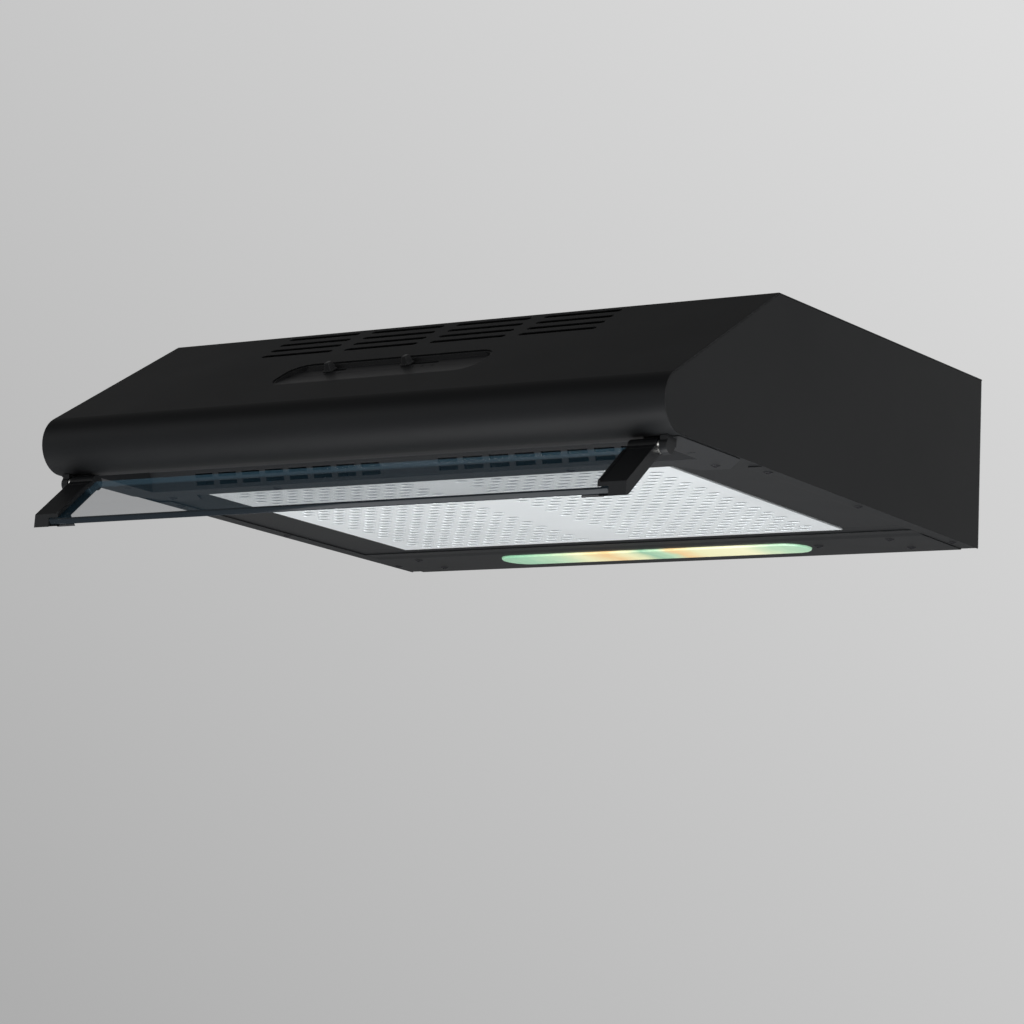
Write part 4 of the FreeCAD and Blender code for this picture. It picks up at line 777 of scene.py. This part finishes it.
@dataclass
class Visor:
    """The tinted glass on its two end arms."""

    half: float = 222.5 * MM
    rear: float = 1 * MM
    bite: float = 10 * MM
    between_arms: float = 213.5 * MM
    front: float = 50.4 * MM
    low: float = -3.2 * MM
    thick: float = 5 * MM
    polish: float = 1.1 * MM

    def glass_grid(self) -> np.ndarray:
        """The glass: a rectangle with quarter-round corners carried along x, drawn in a little at both ends.

        Between the arms it reaches back to the hinge line; within the arms its rear edge steps forward.

        Returns:
            Points (rows, columns, 3) in hood coordinates.
        """
        q = np.linspace(0, np.pi / 2, 8)
        ha, hn, r = (self.front - self.rear) / 2, self.thick / 2, self.polish
        step = self.between_arms
        corners = [(ha - r, hn - r, 0), (r - ha, hn - r, 1), (r - ha, r - hn, 2), (ha - r, r - hn, 3)]
        ring = np.concatenate([np.stack([ca + r * np.cos(q + k * np.pi / 2), cn + r * np.sin(q + k * np.pi / 2)], -1)
                               for ca, cn, k in corners])
        ends = np.array([0.0, 0.25, 0.6, 1.1]) * MM
        draw = 1.1 * MM - np.sqrt(np.maximum(0, (1.1 * MM) ** 2 - (1.1 * MM - ends) ** 2))
        middle = np.linspace(10 * MM - step, step - 10 * MM, 24)
        x = np.concatenate([-self.half + ends, [-step, -step + 0.01 * MM], middle,
                            [step - 0.01 * MM, step], self.half - ends[::-1]])
        shrink = np.concatenate([draw, np.zeros(28), draw[::-1]])
        scale_a, scale_n = 1 - shrink / ha, 1 - shrink / hn
        a = (self.front + self.rear) / 2 + ring[None, :, 0] * scale_a[:, None]
        notched = np.abs(x) > step - 0.005 * MM
        a = np.where(notched[:, None], self.front - (self.front - a) * (self.front - self.bite) / (2 * ha), a)
        n = self.low + hn + ring[None, :, 1] * scale_n[:, None]
        return VISOR.to_hood(np.stack([np.broadcast_to(x[:, None], a.shape), a, n], -1))

    def build(self) -> None:
        """Dress the arms and fit the polished glass."""
        dress(Look.BLACK_MOULDING, "visor_arm_left", "visor_arm_right")
        dress(Look.TURNED_STEEL, "visor_pin_left", "visor_pin_right")
        dress(Look.BRIGHT_PLATE, "visor_washer_left", "visor_washer_right")
        glass = skin("polished_visor_glass", self.glass_grid(), Look.SMOKE_GLASS, "visor",
                     (False, True), True)
        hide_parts("visor_glass")


@dataclass
class AirPath:
    """Casing, flap, motor and impeller."""

    def build(self) -> None:
        """Dress the moulded casing and the motor."""
        dress(Look.GREY_CASING, "scroll_base", "scroll_cover", "diverter_flap", "diverter_lever", "impeller")
        dress(Look.ZINC, "motor_can")
        dress(Look.WINDINGS, "motor_stator", "motor_rotor")
        dress(Look.BRONZE, "motor_bearing_lower", "motor_bearing_upper")
        dress(Look.TURNED_STEEL, "motor_shaft")
        dress(Look.BRIGHT_PLATE, "fan_screws", "motor_screws")


@dataclass
class Electrics:
    """Junction box, inlet grommet, capacitor and loom."""

    def build(self) -> None:
        """Dress the parts."""
        dress(Look.GREY_CASING, "terminal_box", "terminal_lid")
        dress(Look.WHITE_PART, "terminal_block")
        dress(Look.RUBBER, "cable_gland", "inner_loom")
        dress(Look.CAN, "capacitor")
        dress(Look.BRIGHT_PLATE, "capacitor_clip", "box_screws")


# ------------------------------------------------------------------ studio
@dataclass
class Studio:
    """Pale floor, soft lights, graded surround and camera."""

    eye: Vector = field(default_factory=lambda: Vector((1.22984, -2.13051, -0.45744)))
    right: Vector = field(default_factory=lambda: Vector((0.84090, 0.53957, 0.04185)))
    down: Vector = field(default_factory=lambda: Vector((-0.04463, 0.14621, -0.98825)))
    forward: Vector = field(default_factory=lambda: Vector((-0.53935, 0.82915, 0.14703)))
    lens: float = 113.54
    floor_drop: float = 1.15

    def camera(self) -> None:
        """Place the camera by its three axes."""
        data = bpy.data.cameras.new("camera")
        data.lens, data.sensor_width = self.lens, 36.0
        data.clip_start, data.clip_end = 0.05, 60.0
        made = bpy.data.objects.new("camera", data)
        turn = Matrix((self.right, -self.down, -self.forward)).transposed()
        made.matrix_world = Matrix.Translation(self.eye) @ turn.to_4x4()
        bpy.context.scene.collection.objects.link(made)
        bpy.context.scene.camera = made

    def surround(self) -> None:
        """Grey studio wall all round, brighter towards the upper right, under a dark ceiling."""
        world = bpy.data.worlds.new("surround")
        bpy.context.scene.world = world
        world.use_nodes = True
        graph = Graph(world.node_tree)
        way = graph.node("ShaderNodeTexCoord", out="Generated")
        slope = self.right * 1.0 - self.down * 1.0
        along = graph.node("ShaderNodeVectorMath", {"operation": "DOT_PRODUCT"}, {0: way, 1: tuple(slope)}, 1)
        level = graph.node("ShaderNodeMapRange", {"interpolation_type": "LINEAR"},
                           {0: along, 1: -0.30, 2: 0.30, 3: 0.42, 4: 0.72})
        _, _, height = graph.axes(way)
        level = level * (1.0 - height.above(0.34, 0.52) * 0.74)
        light = graph.node("ShaderNodeBackground", None, {"Color": graph.blend(level, (0.0, 0.0, 0.0),
                                                                               (1.0, 1.0, 1.0)), "Strength": 1.0})
        output = graph.tree.nodes.new("ShaderNodeOutputWorld")
        graph.tree.links.new(light.socket, output.inputs["Surface"])

    def floor(self) -> None:
        """A wide pale disc: rings of points on a circle, r cos t and r sin t."""
        r = np.linspace(0.001, 6.0, 12)[:, None]
        t = np.linspace(0, 2 * np.pi, 64, endpoint=False)[None]
        grid = np.stack([r * np.cos(t), r * np.sin(t), np.full((12, 64), -self.floor_drop)], -1)
        mesh = bpy.data.meshes.new("studio_floor")
        index = np.arange(12 * 64).reshape(12, 64)
        nxt = np.roll(index, -1, axis=1)
        quads = np.stack([index[:-1], index[1:], nxt[1:], nxt[:-1]], -1).reshape(-1, 4)
        mesh.from_pydata(grid.reshape(-1, 3).tolist(), [], quads.tolist())
        mesh.materials.append(Finish("pale_floor", (0.62, 0.62, 0.62), 0.85).material())
        made = bpy.data.objects.new("studio_floor", mesh)
        bpy.context.scene.collection.objects.link(made)

    def softbox(self, name: str, place: tuple[float, float, float], aim: tuple[float, float, float],
                size: tuple[float, float], power: float) -> None:
        """A rectangular soft light.

        Args:
            name: light name.
            place: where it hangs.
            aim: the point it faces.
            size: width and height.
            power: watts.
        """
        data = bpy.data.lights.new(name, "AREA")
        data.shape, data.size, data.size_y, data.energy = "RECTANGLE", size[0], size[1], power
        made = bpy.data.objects.new(name, data)
        way = Vector(aim) - Vector(place)
        made.matrix_world = Matrix.Translation(place) @ way.to_track_quat("-Z", "Y").to_matrix().to_4x4()
        bpy.context.scene.collection.objects.link(made)

    def build(self) -> None:
        """Set the whole studio."""
        bpy.context.scene.view_settings.view_transform = "Standard"
        self.camera()
        self.surround()
        self.floor()
        self.softbox("under_light", (0.1, -0.5, -1.10), (0.0, -0.2, 0.0), (1.8, 1.6), 80.0)
        self.softbox("front_light", (-1.6, -2.2, 0.9), (0.0, -0.3, -0.05), (1.6, 1.2), 9.0)
        self.softbox("right_light", (2.4, -0.6, 0.5), (0.2, -0.2, -0.06), (1.4, 1.2), 10.0)


def main() -> None:
    """Build every sub-assembly, logging each as done, then the studio."""
    logging.basicConfig(level=logging.INFO, format="%(message)s")
    for part in (Shell(), Filter(), Lamp(), Controls(), Visor(), AirPath(), Electrics()):
        part.build()
        log.info("%s done", type(part).__name__)
    Studio().build()


if __name__ == "__main__":
    main()
